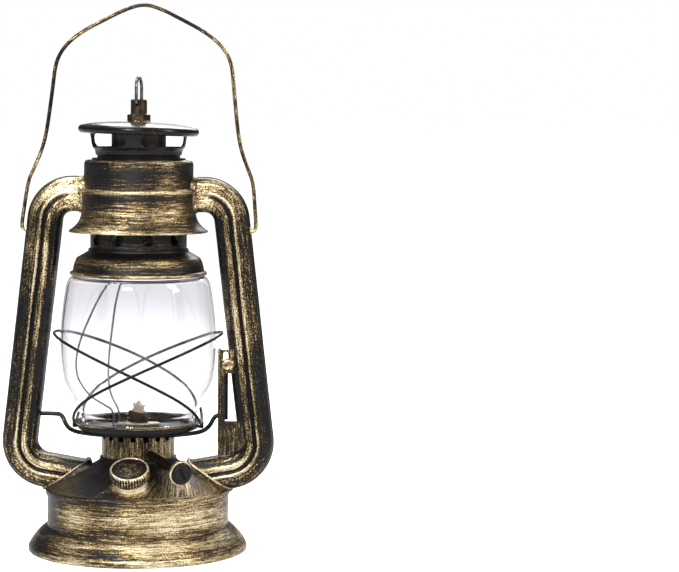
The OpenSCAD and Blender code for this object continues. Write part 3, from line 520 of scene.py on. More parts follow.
dome_path = [(DOME_R - 0.2, SEAM_Z - 2.8), (DOME_R, SEAM_Z - 2.2), (DOME_R, SEAM_Z - 0.6)]
dome_path += curve((DOME_R, SEAM_Z - 0.3), (DOME_R, SEAM_Z + 0.7), (DOME_R - 1.6, SEAM_Z + 1.4), 5)
dome_path += curve((DOME_MID[0] + 3, DOME_MID[1] - 1.6), DOME_MID, (31, 56.9), 4)
dome_path += curve((29.5, 57.9), (25.5, 59.6), (25.5, 62.5), 8)
lathe("fount_dome_shell", sheet_on(spaced(dome_path, 1.8), SHEET), mat_dome, FRAME, kind="radial", gold=dome_gold_and_light,
      dents=0.3, replaces="fount_dome", slot="aged_brass")


def at_filler(z=0.0):
    turn = math.radians(FILLER_TURN)
    dome_z = SEAM_Z + (DOME_R - FILLER_REACH) * math.tan(math.radians(DOME_TILT))
    return (Matrix.Rotation(turn, 4, "Z") @ Matrix.Translation(Vector((0, -FILLER_REACH, dome_z)) * MM)
            @ Matrix.Rotation(math.radians(DOME_TILT), 4, "X") @ Matrix.Translation(Vector((0, 0, z)) * MM))


neck_outline = [(8.8, 12.0), (8.8, -4), (14.0, -4.0), (13.6, 0.9), (12.4, 1.3), (11.0, 1.5), (10.4, 1.9)]
neck_outline += arc((10.4, 3.0), 1.0, -80, 80, 6) + arc((10.4, 5.1), 1.0, -80, 80, 6)
neck_outline += [(10.4, 6.5), (10.4, 11.7), (10.1, 12.0)]
lathe("filler_neck_beads", neck_outline, mat_cast, FRAME, gold=lambda r, z, a: 0.75 * bell_of(r, 11.4, 0.5),
      segments=96, matrix=at_filler(), replaces="filler_neck", slot="aged_brass")


def toothed(name, outline, teeth, depth, mat, body, **more):
    """A turned piece, serrated where the third number of its outline's points is above 0."""
    segments = teeth * 6
    verts, flow, marks, faces = [], [], [], []
    n = len(outline)
    for i in range(segments):
        a = 2 * math.pi * i / segments
        wave = 0.5 - 0.5 * math.cos(a * teeth)
        for r, z, share, g in outline:
            rr = r - depth * share * wave ** 1.6
            verts.append((rr * math.cos(a), rr * math.sin(a), z))
            flow.append((rr * math.cos(a) * 2, rr * math.sin(a) * 2, z * 2))
            marks.append(g - share * wave * 0.9)
    for i in range(segments):
        j = (i + 1) % segments
        for k in range(n):
            m = (k + 1) % n
            faces.append((i * n + k, j * n + k, j * n + m, i * n + m))
    return piece(name, verts, faces, mat, body, flow=flow, gold=marks, sharp=55, **more)


# Each point is its radius, its height, its share of the serration and its gold
cap_outline = [(11.7, 5.7, 0, -0.3), (12.5, 5.6, 0.2, 0), (13.0, 6.1, 0.8, 0.1), (13.1, 7.0, 1, 0.2),
               (13.1, 10.2, 1, 0.2), (13.0, 11.3, 1, 0.4), (12.7, 12.0, 0.7, 0.8), (12.2, 12.45, 0.1, 0.8),
               (11.6, 12.5, 0, 0.8), (11.2, 12.3, 0, 0.4), (11.0, 11.9, 0, -0.5), (10.5, 11.7, 0, -0.4),
               (8, 11.9, 0, -0.05), (4, 12.1, 0, 0.05), (0.03, 12.15, 0, 0.1), (0.03, 10.9, 0, 0), (11.7, 10.9, 0, 0)]
cap_outline = [(r, z + 2.4, share, g) for r, z, share, g in cap_outline]
toothed("filler_cap_rim", cap_outline, 44, 0.75, mat_cast, "filler_cap", matrix=at_filler(), replaces="filler_cap",
        slot="aged_brass")
finish_cad("filler_gasket", mat_rubber)
finish_cad("bottom_plate", mat_cad_around)
finish_cad("cable_grommet", mat_rubber)
finish_cad("terminal_block", mat_white)

# Burner -------------------------------------------------------------------------

finish_cad("burner_drum", mat_drum)
finish_cad("burner_floor wick_tube wick_wheels", mat_nut)
finish_cad("wick_spindle spindle_sleeve", mat_copper)

burner_outline = [(BURNER_R, DRUM_TOP - 0.9), (BURNER_R, DRUM_TOP + 4.3)]
burner_outline += arc((BURNER_R - 1.5, DRUM_TOP + 5.3), 1.5, 0, 90, 6)
burner_outline += [(11, DRUM_TOP + 6.7), (2.2, DRUM_TOP + 6.9), (2.2, DRUM_TOP + 5.7)]
burner_outline += [(BURNER_R - 1.4, DRUM_TOP + 5.5), (BURNER_R - 1.4, DRUM_TOP - 0.9)]
lathe("burner_disc", burner_outline, mat_around, FRAME, gold=lambda r, z, a: 0.5, segments=96,
      replaces="burner_cap", slot="aged_brass")

plate_path = [(BURNER_R + 1.4, PLATE_Z), (PLATE_R - 1.6, PLATE_Z), (PLATE_R - 0.5, PLATE_Z + 0.3),
              (PLATE_R, PLATE_Z + 1.2), (PLATE_R, PLATE_Z + 3.6)]
plate_path += arc((PLATE_R + 0.2, PLATE_Z + 3.6), 0.6, 180, 20, 4)
lathe("globe_plate_rim", sheet_on(spaced(plate_path, 2.5), 1.0), mat_around, "globe_lift",
      gold=lambda r, z, a: 0.35 * bell_of(z, PLATE_Z + 4.2, 0.7) - 0.6 * bell_of(z, PLATE_Z + 1.5, 1.6),
      replaces="globe_plate", slot="aged_brass")


WHEEL_R = 3.2


def at_spindle(z=0.0):
    side = -(WHEEL_R + 1.0 + 0.15)
    return (Matrix.Rotation(math.radians(SPINDLE_TURN), 4, "Z")
            @ Matrix.Translation(Vector((side, 0, DRUM_TOP - 9.2)) * MM)
            @ Matrix.Rotation(math.radians(90 + SPINDLE_TILT), 4, "X") @ Matrix.Translation(Vector((0, 0, z)) * MM))


knob_outline = [(3.4, -5, 0, -0.3), (3.4, -1.2, 0, -0.2), (7.6, -1.0, 0.4, 0), (8.2, -0.5, 1, 0.4),
                (8.4, 0.4, 1, 0.5), (8.4, 1.6, 1, 0.6), (8.1, 2.2, 0.5, 0.9), (7.5, 2.35, 0, 0.8),
                (7.15, 2.0, 0, 0.4), (7.1, 1.2, 0, 0), (1.5, 1.2, 0, 0), (1.5, -5, 0, 0)]
toothed("wick_knob_rim", knob_outline, 40, 0.55, mat_cast, "wick_knob", matrix=at_spindle(KNOB_REACH),
        replaces="wick_knob", slot="aged_brass")
face_outline = [(0.02, 1.3), (7.1, 1.3), (7.1, 2.6)] + arc((5.9, 4.0), 1.2, 0, 75, 5)
face_outline += [(5.2, 5.3), (4.8, 5.0), (4.5, 4.95), (0.02, 4.9)]
lathe("wick_knob_face", face_outline, mat_plastic, "wick_knob", segments=72, matrix=at_spindle(KNOB_REACH),
      replaces="knob_face", slot="black_plastic")


def bar(name, size, mat, body, matrix, edge=0.4, **more):
    """A raised bar with rounded edges, built as a stack of shrinking outlines."""
    lx, ly, h = size
    levels = [(0.0, 0.0), (h - edge, 0.0), (h - edge * 0.3, edge * 0.3), (h, edge)]
    verts, faces = [], []
    for z, inset in levels:
        a, b, k = lx / 2 - inset, ly / 2 - inset, min(lx, ly) * 0.45
        for cx, cy, start in ((a - k, b - k, 0), (-a + k, b - k, 90), (-a + k, -b + k, 180), (a - k, -b + k, 270)):
            verts += [(p[0], p[1], z) for p in arc((cx, cy), k, start, start + 90, 4)]
    n = 20
    for i in range(len(levels) - 1):
        faces += [(i * n + k, i * n + (k + 1) % n, (i + 1) * n + (k + 1) % n, (i + 1) * n + k) for k in range(n)]
    faces += [tuple(range(n))[::-1], tuple(range(3 * n, 4 * n))]
    return piece(name, verts, faces, mat, body, matrix=matrix, **more)


bar("knob_grip_bar", (1.7, 7.6, 1.1), mat_plastic, "wick_knob",
    at_spindle(KNOB_REACH + 4.85) @ Matrix.Rotation(math.radians(28), 4, "Z"), slot="black_plastic")

# The wick's end is frayed into five points round a middle
wick_verts, wick_faces = [], []
star = [(-3.6, 5.5), (-3.4, 10.7), (-7.4, 13.1), (-5.8, 14.5), (-7.2, 17.5), (-3.4, 16.9), (-0.4, 19.8),
        (1.6, 16.8), (6.4, 17.6), (4.4, 14.7), (6.9, 12.7), (3.3, 10.9), (3.6, 5.5)]
profile = [(-7.5, -40), (-7.5, 2), (-4.4, 4.5)] + star + [(4.4, 4.5), (7.5, 2), (7.5, -40)]
for side in (-1, 1):
    for i, (u, z) in enumerate(profile):
        fray = 0.35 * noise.noise(Vector((u * 0.7, z * 0.7, side)))
        wick_verts.append((side * 1.0 + fray, u + fray, DRUM_TOP + z))
count = len(profile)
wick_faces += [tuple(range(count)), tuple(range(count, 2 * count))[::-1]]
wick_faces += [(k, k + count, (k + 1) % count + count, (k + 1) % count) for k in range(count)]
piece("frayed_wick", wick_verts, wick_faces, mat_wick, "wick",
      matrix=Matrix.Rotation(math.radians(SPINDLE_TURN), 4, "Z"), replaces="wick", slot="wick_cotton")

# Globe, guards and lifter ---------------------------------------------------------

foot, neck, mouth = 38.6, 37.7, 39.4
globe_path = [(foot, 0.3), (foot, 2.6), (neck + 0.3, 3.8), (neck, 5.2), (neck, 6.6)]
globe_path += curve((neck + 0.7, 8.4), (GLOBE_R - 3.6, 22), (GLOBE_R - 1.6, 33), 14)
globe_path += curve((GLOBE_R - 1.2, 37), (GLOBE_R + 1.6, GLOBE_H * 0.56), (GLOBE_R - 4.7, GLOBE_H - 13.6), 24)
globe_path += curve((GLOBE_R - 5.6, GLOBE_H - 11.6), (GLOBE_R - 6.8, GLOBE_H - 8.6), (mouth + 2.6, GLOBE_H - 7.8), 8)
globe_path += [(mouth + 0.8, GLOBE_H - 5.4), (mouth, GLOBE_H)]
lathe("glass_globe", [(r, GLOBE_Z + z) for r, z in sheet_on(rounded(globe_path, 1), 1.6)], mat_glass,
      "globe_lift", sharp=180, replaces="globe", slot="clear_glass")

# A guard wire's radius at heights above the plate
GUARD_FORM = [(2.4, PLATE_R + 1), (17, GLOBE_R - 4), (28, GLOBE_R + 1), (42, GLOBE_R + 2.4), (65, GLOBE_R + 3.4)]


def lookup(x, table):
    """Straight-line reading of a table of pairs."""
    for (a, p), (b, q) in zip(table, table[1:]):
        if x <= b:
            return p + (q - p) * max(0.0, (x - a) / (b - a))
    return table[-1][1]


def guard_loop(turn, out):
    """A leaning loop round the globe, pushed out at its sides where it passes over the other one."""
    points = []
    for i in range(180):
        a = math.radians(i * 2)
        z = PLATE_Z + 2.4 + 61.6 * ((1 + math.cos(a)) / 2) ** 0.7
        r = sum(lookup(z - PLATE_Z + d, GUARD_FORM) for d in (-4, -2, 0, 2, 4)) / 5 + out * math.sin(a) ** 2
        points.append((r * math.cos(a + turn), r * math.sin(a + turn), z))
    return points


for side, turn, out in (("left", math.pi, 0), ("right", 0, 2.4)):
    wire(f"guard_loop_{side}", guard_loop(turn, out), 1.0, mat_dark_wire, "globe_lift", closed=True,
         replaces=f"guard_wire_{side}", slot="black_wire")
finish_cad("guard_clips", mat_cad_around, 0.25)

LOW = (LOWER_C[0] - UPPER_C[0], UPPER_C[1] - LOWER_C[1])
gap = math.hypot(*LOW)
LEAN = math.degrees(math.atan2(LOW[0], LOW[1])) + math.degrees(math.asin((LOWER_R - UPPER_R) / gap))
ca, sa = math.cos(math.radians(LEAN)), math.sin(math.radians(LEAN))
LEG_TOP = (UPPER_C[0] + UPPER_R * ca, UPPER_C[1] + UPPER_R * sa)
LEG_LOW = (LOWER_C[0] + LOWER_R * ca, LOWER_C[1] + LOWER_R * sa)


def leg_x(z):
    return LEG_TOP[0] + (LEG_TOP[1] - z) * math.tan(math.radians(LEAN))


lifter_z, lifter_end = PLATE_Z - 1.5, PLATE_Z + 9.0
bracket_x = GLOBE_R + 1.2
slider_x = bracket_x + 4.1
left_x = -(leg_x(lifter_end) - TUBE_W / 2 / ca) - 3.5
lifter_path = [(left_x, 0, lifter_end), (left_x + 12, 0, lifter_end), (-51, 0, lifter_end - 0.5), (-48, -3, lifter_z + 3),
               (-43, -8, lifter_z), (-34, -19, lifter_z), (-20, -28, lifter_z), (20, -28, lifter_z), (34, -19, lifter_z),
               (43, -8, lifter_z), (48, -3, lifter_z + 3), (51, 0, lifter_end - 1), (bracket_x + 1, 0, lifter_end),
               (slider_x + 0.4, 0, lifter_end)]
wire("lifter_rod", spaced(rounded(lifter_path, 3), 1.2), 1.5, mat_dark_wire, "globe_lift", sides=16,
     replaces="lifter_wire", slot="black_wire")
finish_cad("lift_slider", mat_cad_up, 0.3)
finish_cad("lift_eye", mat_edge)
finish_cad("lift_bracket", mat_cad_up, 0.3)

# Side tubes -------------------------------------------------------------------------


STUB_STEPS, STUB_LENGTH = 8, 20
STUB_A = math.radians(STUB_TILT - 90)
STUB_FROM = (LOWER_C[0] + LOWER_R * math.cos(STUB_A), LOWER_C[1] + LOWER_R * math.sin(STUB_A))


def on_stub(u, w, t):
    """Point of the lower stub: u outward across it, w toward the front, t along it."""
    return (STUB_FROM[0] + u * math.cos(STUB_A) + t * math.sin(STUB_A), -w,
            STUB_FROM[1] + u * math.sin(STUB_A) - t * math.cos(STUB_A))


def landing(u, w, shoe=True):
    """How far along the stub a line of its surface meets the fount, or the raised shoe on it."""
    t = 0.0
    while t < 30:
        x, y, z = on_stub(u, w, t)
        r = math.hypot(x, y)
        top = SEAM_Z + (DOME_R - r) * math.tan(math.radians(DOME_TILT))
        if shoe:
            top += 1.2 + 2.8 * smooth((58 - r) / 20)
        if r < 34.5 or (r < DOME_R + 1.5 and z < top):
            return t
        t += 0.1
    return t


def around(centre, r, a):
    return centre[0] + r * math.cos(math.radians(a)), centre[1] + r * math.sin(math.radians(a))


def stations():
    """Points down a tube's centreline, with the outward angle and the distance run."""
    out = []
    entry = UPPER_C[0] - CROWN_R + 3
    for i in range(6):
        out.append((UPPER_C[0] - entry * (1 - i / 6), UPPER_C[1] + UPPER_R, 90.0))
    for i in range(29):
        a = 90 + (LEAN - 90) * i / 28
        out.append((*around(UPPER_C, UPPER_R, a), a))
    for i in range(1, 40):
        t = i / 40
        out.append((*(p + (q - p) * t for p, q in zip(LEG_TOP, LEG_LOW)), LEAN))
    for i in range(29):
        a = LEAN + (STUB_TILT - 90 - LEAN) * i / 28
        out.append((*around(LOWER_C, LOWER_R, a), a))
    x, z, a = out[-1]
    dx, dz = math.sin(math.radians(a)), -math.cos(math.radians(a))
    for i in range(1, STUB_STEPS + 1):
        out.append((x + dx * STUB_LENGTH * i / STUB_STEPS, z + dz * STUB_LENGTH * i / STUB_STEPS, a))
    run, path = 0.0, []
    for i, p in enumerate(out):
        if i:
            run += math.dist(out[i - 1][:2], p[:2])
        path.append((*p, run))
    return path


def smooth(t):
    t = max(0.0, min(1.0, t))
    return t * t * (3 - 2 * t)


def tube_height(u, run, total):
    """How far the pressed half stands out at u across it, run along it, with its gold bias, in which some painted
    light and shade is mixed.
    """
    half, deep, k = TUBE_W / 2, TUBE_D / 2, TUBE_K
    flat = half - k
    e = min(1.0, max(0.0, (abs(u) - flat) / k))
    w = deep - k + k * math.sqrt(max(0.0, 1 - e * e))
    start = smooth((run - 6) / 10)
    late = smooth((run - 26) / 12)
    ridge = bell_of(u, 1.9, 1.25) * start
    groove = -bell_of(u, -0.6, 1.0) * 0.9 * start
    spread = 1.9 * late
    band = (smooth((u + 3.9 + spread) / 0.7) - smooth((u + 3.9 - spread) / 0.7)) * 0.9 * late
    trench = -bell_of(u, -7.6, 0.9) * 0.5 * late - bell_of(u, 4.6, 1.2) * 0.35 * start
    gold = 0.6 * bell_of(u, 1.9, 0.9) * start + 0.36 * band - 0.8 * bell_of(u, -0.7, 0.9) * start
    gold -= 0.12 * smooth((u - 3.4) / 1.6) * late
    gold -= 0.65 * bell_of(u, -7.3, 0.9) * late + 0.2 * smooth((-u - 7.5) / 1.5)
    # More gold over the top of the upper bend, by the crown, is painted highlight, and less on the outer rounded edge
    # is painted shade.
    gold += 0.55 * bell_of(run, 10, 14) - 0.32 * bell_of(u, half, 1.2) - 0.1 * late
    gold += 0.22 * bell_of(run, total - 26, 18)
    return w + (ridge + groove + band + trench) * (0.4 + 0.6 * (1 - e)), gold


def tube_half(name, mirror_x, rear, node):
    """A pressed half, with a seam lip along its outer edge and almost none along its inner one."""
    half = TUBE_W / 2
    inner = [half - 1.0 - (TUBE_W - 2.0) * i / 46 for i in range(47)]
    us = [half + 0.55, half + 0.5, half, half - 0.15, half - 0.5] + inner
    us += [-half + 0.5, -half + 0.15, -half, -half - 0.05, -half - 0.1]
    path = stations()
    total = path[-1][3]
    verts, flow, marks, faces = [], [], [], []
    lip = [0.0, 0.35, 0.5]
    for step, (x, z, a, run) in enumerate(path):
        ox, oz = math.cos(math.radians(a)), math.sin(math.radians(a))
        across = 0.0
        last = None
        for k, u in enumerate(us):
            if k < 3:
                w, g = lip[k], -0.9
            elif k >= len(us) - 3:
                w, g = lip[len(us) - 1 - k], -0.9
            else:
                w, g = tube_height(u, run, total)
            seed = Vector((run * 0.05, u * 0.1 + (7 if mirror_x else 0), 3 if rear else 0))
            wob = 0.22 * noise.noise(seed)
            if step > len(path) - 1 - STUB_STEPS:
                share = (step - (len(path) - 1 - STUB_STEPS)) / STUB_STEPS
                p = on_stub(u, w, share * (landing(u, w) + 0.3))
            else:
                out, forward = u + wob * 0.5, w + wob if 2 < k < len(us) - 3 else w
                p = (x + out * ox, -forward, z + out * oz)
            if last:
                across += math.dist(last, (u, w))
            last = (u, w)
            verts.append(p)
            flow.append((run, across * 19, 50 * mirror_x + 90 * rear))
            marks.append(g)
    n = len(us)
    for i in range(len(path) - 1):
        for k in range(n):
            m = (k + 1) % n
            faces.append((i * n + k, i * n + m, (i + 1) * n + m, (i + 1) * n + k))
    faces += [tuple(range(n))[::-1], tuple(range((len(path) - 1) * n, len(path) * n))]
    flip = Matrix.Diagonal((-1 if mirror_x else 1, -1 if rear else 1, 1, 1))
    return piece(name, verts, faces, mat_tube, FRAME, flow=flow, gold=marks, matrix=flip, replaces=node,
                 slot="aged_brass", sharp=60)


for side in ("left", "right"):
    for part in ("front", "rear"):
        tube_half(f"{side}_tube_{part}_shell", side == "left", part == "rear", f"{side}_tube_{part}")


def around_stub(grow, shoe, sink=0.0):
    """Loop round a stub's end, grown by some millimetres, on the shoe's top or on the dome."""
    loop = []
    for i in range(72):
        a = 2 * math.pi * i / 72
        c, d = math.cos(a), math.sin(a)
        k = (abs(c) ** 3.2 + abs(d) ** 3.2) ** (-1 / 3.2)
        u, w = (TUBE_W / 2 + grow) * c * k, (TUBE_D / 2 + grow) * d * k
        loop.append(on_stub(u, w, landing(u, w, shoe) + sink))
    return loop


def tube_foot(side, mirror_x):
    """The shoe that carries a tube on the dome, and its rolled edge."""
    flip = Matrix.Diagonal((-1 if mirror_x else 1, 1, 1, 1))
    loops = [around_stub(0.2, True), around_stub(1.6, False), around_stub(1.6, False, 1.0),
             around_stub(-0.6, False, 1.0), around_stub(-0.6, True)]
    n, m = len(loops[0]), len(loops)
    verts = [p for loop in loops for p in loop]
    faces = [(j * n + i, j * n + (i + 1) % n, (j + 1) % m * n + (i + 1) % n, (j + 1) % m * n + i)
             for j in range(m) for i in range(n)]
    flow = [(x * 2, y * 2, z * 2) for x, y, z in verts]
    piece(f"{side}_tube_foot", verts, faces, mat_edge_flow, FRAME, flow=flow, gold=[-0.25] * len(verts),
          matrix=flip, replaces=f"{side}_tube_shoe", slot="aged_brass")
    wire(f"{side}_tube_flange", around_stub(0.5, True), 0.75, mat_edge_flow, FRAME, closed=True, sides=10,
         matrix=flip, slot="aged_brass", gold=lambda run, p: 0.3)


tube_foot("left", True)
tube_foot("right", False)


def tube_flange(name, mirror_x):
    """The turned-out collar where a tube enters the crown."""
    verts, faces, flow = [], [], []
    rings = [(CROWN_R - 1.5, 0.1), (CROWN_R + 0.7, 0.1), (CROWN_R + 1.2, 0.25), (CROWN_R + 1.3, 0.6),
             (CROWN_R + 1.0, 0.85), (CROWN_R - 1.5, 0.9)]
    n = 64
    for x, grow in rings:
        for i in range(n):
            a = 2 * math.pi * i / n
            c, s = math.cos(a), math.sin(a)
            h, d = TUBE_W / 2 + grow, TUBE_D / 2 + grow
            k = (abs(c) ** 3 + abs(s) ** 3) ** (-1 / 3)
            verts.append((x, -d * s * k, UPPER_C[1] + UPPER_R + h * c * k))
            flow.append(tuple(q * 3 for q in verts[-1]))
    m = len(rings)
    for j in range(m):
        k = (j + 1) % m
        for i in range(n):
            faces.append((j * n + i, j * n + (i + 1) % n, k * n + (i + 1) % n, k * n + i))
    piece(name, verts, faces, mat_cast, FRAME, flow=flow, gold=[0.3] * len(verts),
          matrix=Matrix.Diagonal((-1 if mirror_x else 1, 1, 1, 1)), slot="aged_brass")


tube_flange("left_tube_collar", True)
tube_flange("right_tube_collar", False)

# Bell, crown and canopy ----------------------------------------------------------------


def bell_gold_and_light(r, z, a):
    g = 0.45 * bell_of(z, BELL_Z + 0.8, 1.1) - 0.3 * bell_of(z, BELL_Z + 4, 2.5)
    g += 0.12 * bell_of(z, BELL_Z + 9.0, 2.0)
    # More gold on the side toward the front at 280° is painted light.
    return g - 0.9 * smooth((z - BELL_Z - 11.5) / 2) - 0.1 + 0.15 * front(a, 280, 30)


bell_path = arc((BELL_RIM_R - 0.9, BELL_Z + 0.7), 1.3, -160, 40, 8)
bell_path += curve((BELL_RIM_R - 1.5, BELL_Z + 2.3), (BELL_RIM_R - 2.0, BELL_Z + 6.0),
                   (BELL_RIM_R - 3.2, BELL_Z + 9.0), 8)
bell_path += curve((BELL_RIM_R - 4.2, BELL_Z + 11.0), (COLLAR_R + 4.6, BELL_Z + 13.6),
                   (COLLAR_R + SHEET + 0.2, BELL_TOP - 1.6), 8)
bell_path += [(COLLAR_R + SHEET, BELL_TOP)]
lathe("bell_skirt", sheet_on(bell_path, SHEET), mat_around, "bell", gold=bell_gold_and_light, dents=0.2, replaces="bell",
      slot="aged_brass")
finish_cad("bell_collar", mat_cad_around)
finish_cad("bell_spring", mat_spring)
finish_cad("bell_guide", mat_lacquer)


def crown_gold_and_light(r, z, a):
    g = 0.6 * bell_of(z, RIDGE_Z + 0.4, 1.7) - 0.25 * bell_of(z, RIDGE_Z - 4, 2) - 0.15 * bell_of(z, RIDGE_Z + 13, 4)
    g += 0.45 * bell_of(z, CROWN_Z + 1, 2.2) + 0.2 * bell_of(z, CROWN_Z + 11, 7) + 0.4 * bell_of(z, CROWN_TOP - 0.6, 1.0)
    # More gold on the front right at 312° is painted highlight; less on the left at 225° and toward the right edge at
    # 350° is painted shade.
    g += 0.3 * front(a, 312, 20) * smooth((z - CROWN_Z - 8) / 6)
    g -= 0.22 * front(a, 225, 30) * smooth((z - CROWN_Z - 12) / 5)
    return g - 0.15 * front(a, 350, 16) - 0.1


high = CROWN_R - 1.8
crown_path = arc((CROWN_R + 7.6, CROWN_Z + 0.6), 0.6, -150, 60, 5)
crown_path += curve((CROWN_R + 7.0, CROWN_Z + 1.9), (CROWN_R + 1.2, CROWN_Z + 5.5),
                    (CROWN_R + 0.2, CROWN_Z + 12), 10)
crown_path += [(CROWN_R, CROWN_Z + 16), (CROWN_R, RIDGE_Z - 3.2), (CROWN_R - 0.35, RIDGE_Z - 2.4),
               (CROWN_R - 0.2, RIDGE_Z - 1.6)]
crown_path += arc((CROWN_R - 1.2, RIDGE_Z), 2.0, -40, 44, 6) + [(high, RIDGE_Z + 2.6)]
crown_path += [(high, CROWN_TOP - 4)]
crown_path += curve((high, CROWN_TOP - 3.4), (high, CROWN_TOP), (high - 3.0, CROWN_TOP), 6) + [(26.3, CROWN_TOP)]
lathe("crown_shell", sheet_on(spaced(crown_path, 1.6), SHEET), mat_around, FRAME, gold=crown_gold_and_light, dents=0.28,
      replaces="crown", slot="aged_brass")
finish_cad("crown_top", mat_lacquer)


def basket():
    """The canopy's pressed basket: two rings joined by four waisted struts."""
    path = [(28.6, NECK_TOP - 3), (28.7, NECK_TOP - 1)]
    path += curve((28.8, NECK_TOP - 0.5), (29.2, NECK_TOP + 1.2), (30.6, WINDOW_Z + 0.3), 5)
    path += [(31.2, WINDOW_Z + 3), (31.8, CANOPY_Z - 3.5)]
    path += curve((32.2, CANOPY_Z - 1.6), (32.8, CANOPY_Z + 0.8), (35.2, CANOPY_Z + 1.8), 5)
    path = spaced(path, 0.7)
    low, up = WINDOW_Z + 0.2, CANOPY_Z - 1.2
    columns = 240
    verts, faces = [], []
    for i in range(columns):
        a = 2 * math.pi * i / columns
        for r, z in path:
            verts.append((r * math.cos(a), r * math.sin(a), z))
    n = len(path)
    for i in range(columns):
        a = math.degrees(2 * math.pi * (i + 0.5) / columns) + 2.0
        off = abs((a + 45) % 90 - 45)
        for k in range(n - 1):
            z = (path[k][1] + path[k + 1][1]) / 2
            if low < z < up:
                t = (z - low) / (up - low) * 2 - 1
                if off > 9.5 + 12 * abs(t) ** 5 + 3 * abs(t):
                    continue
            j = (i + 1) % columns
            faces.append((i * n + k, j * n + k, j * n + k + 1, i * n + k + 1))
    used = sorted({v for f in faces for v in f})
    index = {v: i for i, v in enumerate(used)}
    obj = piece("canopy_struts", [verts[v] for v in used], [tuple(index[v] for v in f) for f in faces],
                mat_fleck, FRAME, replaces="canopy_basket", slot="black_enamel")
    thick = obj.modifiers.new("thick", "SOLIDIFY")
    thick.thickness = SHEET * MM
    thick.offset = -1
    smooth_it = obj.modifiers.new("smooth", "SMOOTH")
    smooth_it.iterations = 6
    smooth_it.factor = 0.5


basket()

hub = Vector((0, 0, CANOPY_Z)) * MM
tilt = Matrix.Translation(hub) @ Matrix.Rotation(math.radians(1.6), 4, "Y") @ Matrix.Translation(-hub)
cap_path = arc((CANOPY_R - 2.7, CANOPY_Z + 1.0), 2.7, -150, 64, 14)
cap_path += curve((CANOPY_R - 4.5, CANOPY_Z + 4.0), (CANOPY_R - 12, CAP_TOP - 0.6), (12, CAP_TOP), 12)
cap_path += [(5.0, CAP_TOP)]
lathe("canopy_lid", sheet_on(cap_path, SHEET), mat_fleck, FRAME, dents=0.2, matrix=tilt,
      replaces="canopy_cap", slot="black_enamel")

finish_cad("hanger_nipple", mat_spring)
finish_cad("hanger_washer", mat_edge)
finish_cad("hanger_nut", mat_nut, 0.35)
finish_cad("hook_block", mat_nut)

ring_frame = (Matrix.Translation(Vector((0, 0, RING_Z)) * MM) @ Matrix.Rotation(math.radians(-RING_TURN), 4, "Z")
              @ Matrix.Rotation(math.radians(90), 4, "X"))
loop_half = BLOCK_R + 0.4 + 1.05 + 0.3
loop_rise = 17.5 - loop_half
loop = [(0, loop_rise * 0.2, -loop_half), (0, loop_rise * 0.5, -loop_half)]
loop += [(0, y, z) for z, y in arc((0, loop_rise), loop_half, 180, 0, 30)]
loop += [(0, loop_rise * 0.5, loop_half), (0, loop_rise * 0.2, loop_half)]
ends = [(0, 0, -loop_half + 1.2), (0, 0.1, -loop_half + 0.3)], [(0, 0.1, loop_half - 0.3), (0, 0, loop_half - 1.2)]
wire("hanging_loop", [(0, 0, -4.0)] + rounded(ends[0] + loop + ends[1], 1) + [(0, 0, 4.0)], 1.08, mat_steel,
     "hang_ring", matrix=ring_frame, replaces="hang_ring", slot="aged_steel")

# Bail -------------------------------------------------------------------------------------

bail_half = leg_x(PIVOT_Z) + TUBE_W / 2 / ca + 3.4
half = [(24.6, 10), (40, 18), (50.3, 26), (56, 34), (58.6, 42), (59.8, 54), (61.6, 70), (63.6, 86),
        (66.5, 98), (71.5, 110)]
right = [(x + bail_half - 77.8, 0, PIVOT_Z + BAIL_H - d) for x, d in half]
right += [(bail_half - 3, 0, PIVOT_Z + BAIL_H - 118), (bail_half - 1, 0, PIVOT_Z + 14), (bail_half, 0, PIVOT_Z + 5),
          (bail_half - 0.2, 0, PIVOT_Z + 1), (bail_half - 2.2, 0, PIVOT_Z), (bail_half - 6, 0, PIVOT_Z)]
top = [(-12, 0, PIVOT_Z + BAIL_H - 3.6), (0, 0, PIVOT_Z + BAIL_H), (12, 0, PIVOT_Z + BAIL_H - 3.6)]
bail_path = [(-x, y, z) for x, y, z in right[::-1]] + top + right
bail_path = [(x + BAIL_LEAN * (1 - (1 - (z - PIVOT_Z) / BAIL_H) ** 2), y, z) for x, y, z in bail_path]


def bail_gold(run, p):
    """Gold everywhere but on two worn stretches."""
    worn_side = 0.6 * bell_of(p[0], -62, 6) * bell_of(p[2], 302, 18)
    worn_top = 0.3 * bell_of(p[0], 30, 16) * bell_of(p[2], 352, 9)
    return 0.06 - worn_side - worn_top


wire("bail_handle", spaced(rounded(bail_path, 3), 2.0), 1.27, mat_wire, "bail", replaces="bail", slot="black_wire",
     gold=bail_gold)
finish_cad("bail_eyelets", mat_edge)

# Lampholder and leads ------------------------------------------------------------------------

finish_cad("holder_cap holder_skirt", mat_bakelite)
finish_cad("contact_base", mat_white)
finish_cad("lamp_thread centre_contact", mat_brass)
finish_cad("side_contact", mat_steel)
finish_cad("lead_wire_live lead_wire_neutral", mat_lead)

# Studio -----------------------------------------------------------------------------------------

floor_mesh = bpy.data.meshes.new("studio_floor")
span = 40.0
floor_mesh.from_pydata([(-span, -span, 0), (span, -span, 0), (span, span, 0), (-span, span, 0)], [], [(0, 1, 2, 3)])
floor = bpy.data.objects.new("studio_floor", floor_mesh)
bpy.context.scene.collection.objects.link(floor)
pale = Net("pale_floor")
pale.set(Base_Color=(0.7, 0.7, 0.7), Roughness=0.8, Emission_Color=(1, 1, 1),
         Emission_Strength=pale.math("MULTIPLY_ADD", pale.seen_ray(), 0.84, 0.03))
floor_mesh.materials.append(pale.mat)

world = bpy.data.worlds.new("studio_world")
bpy.context.scene.world = world
world.use_nodes = True
tree = world.node_tree
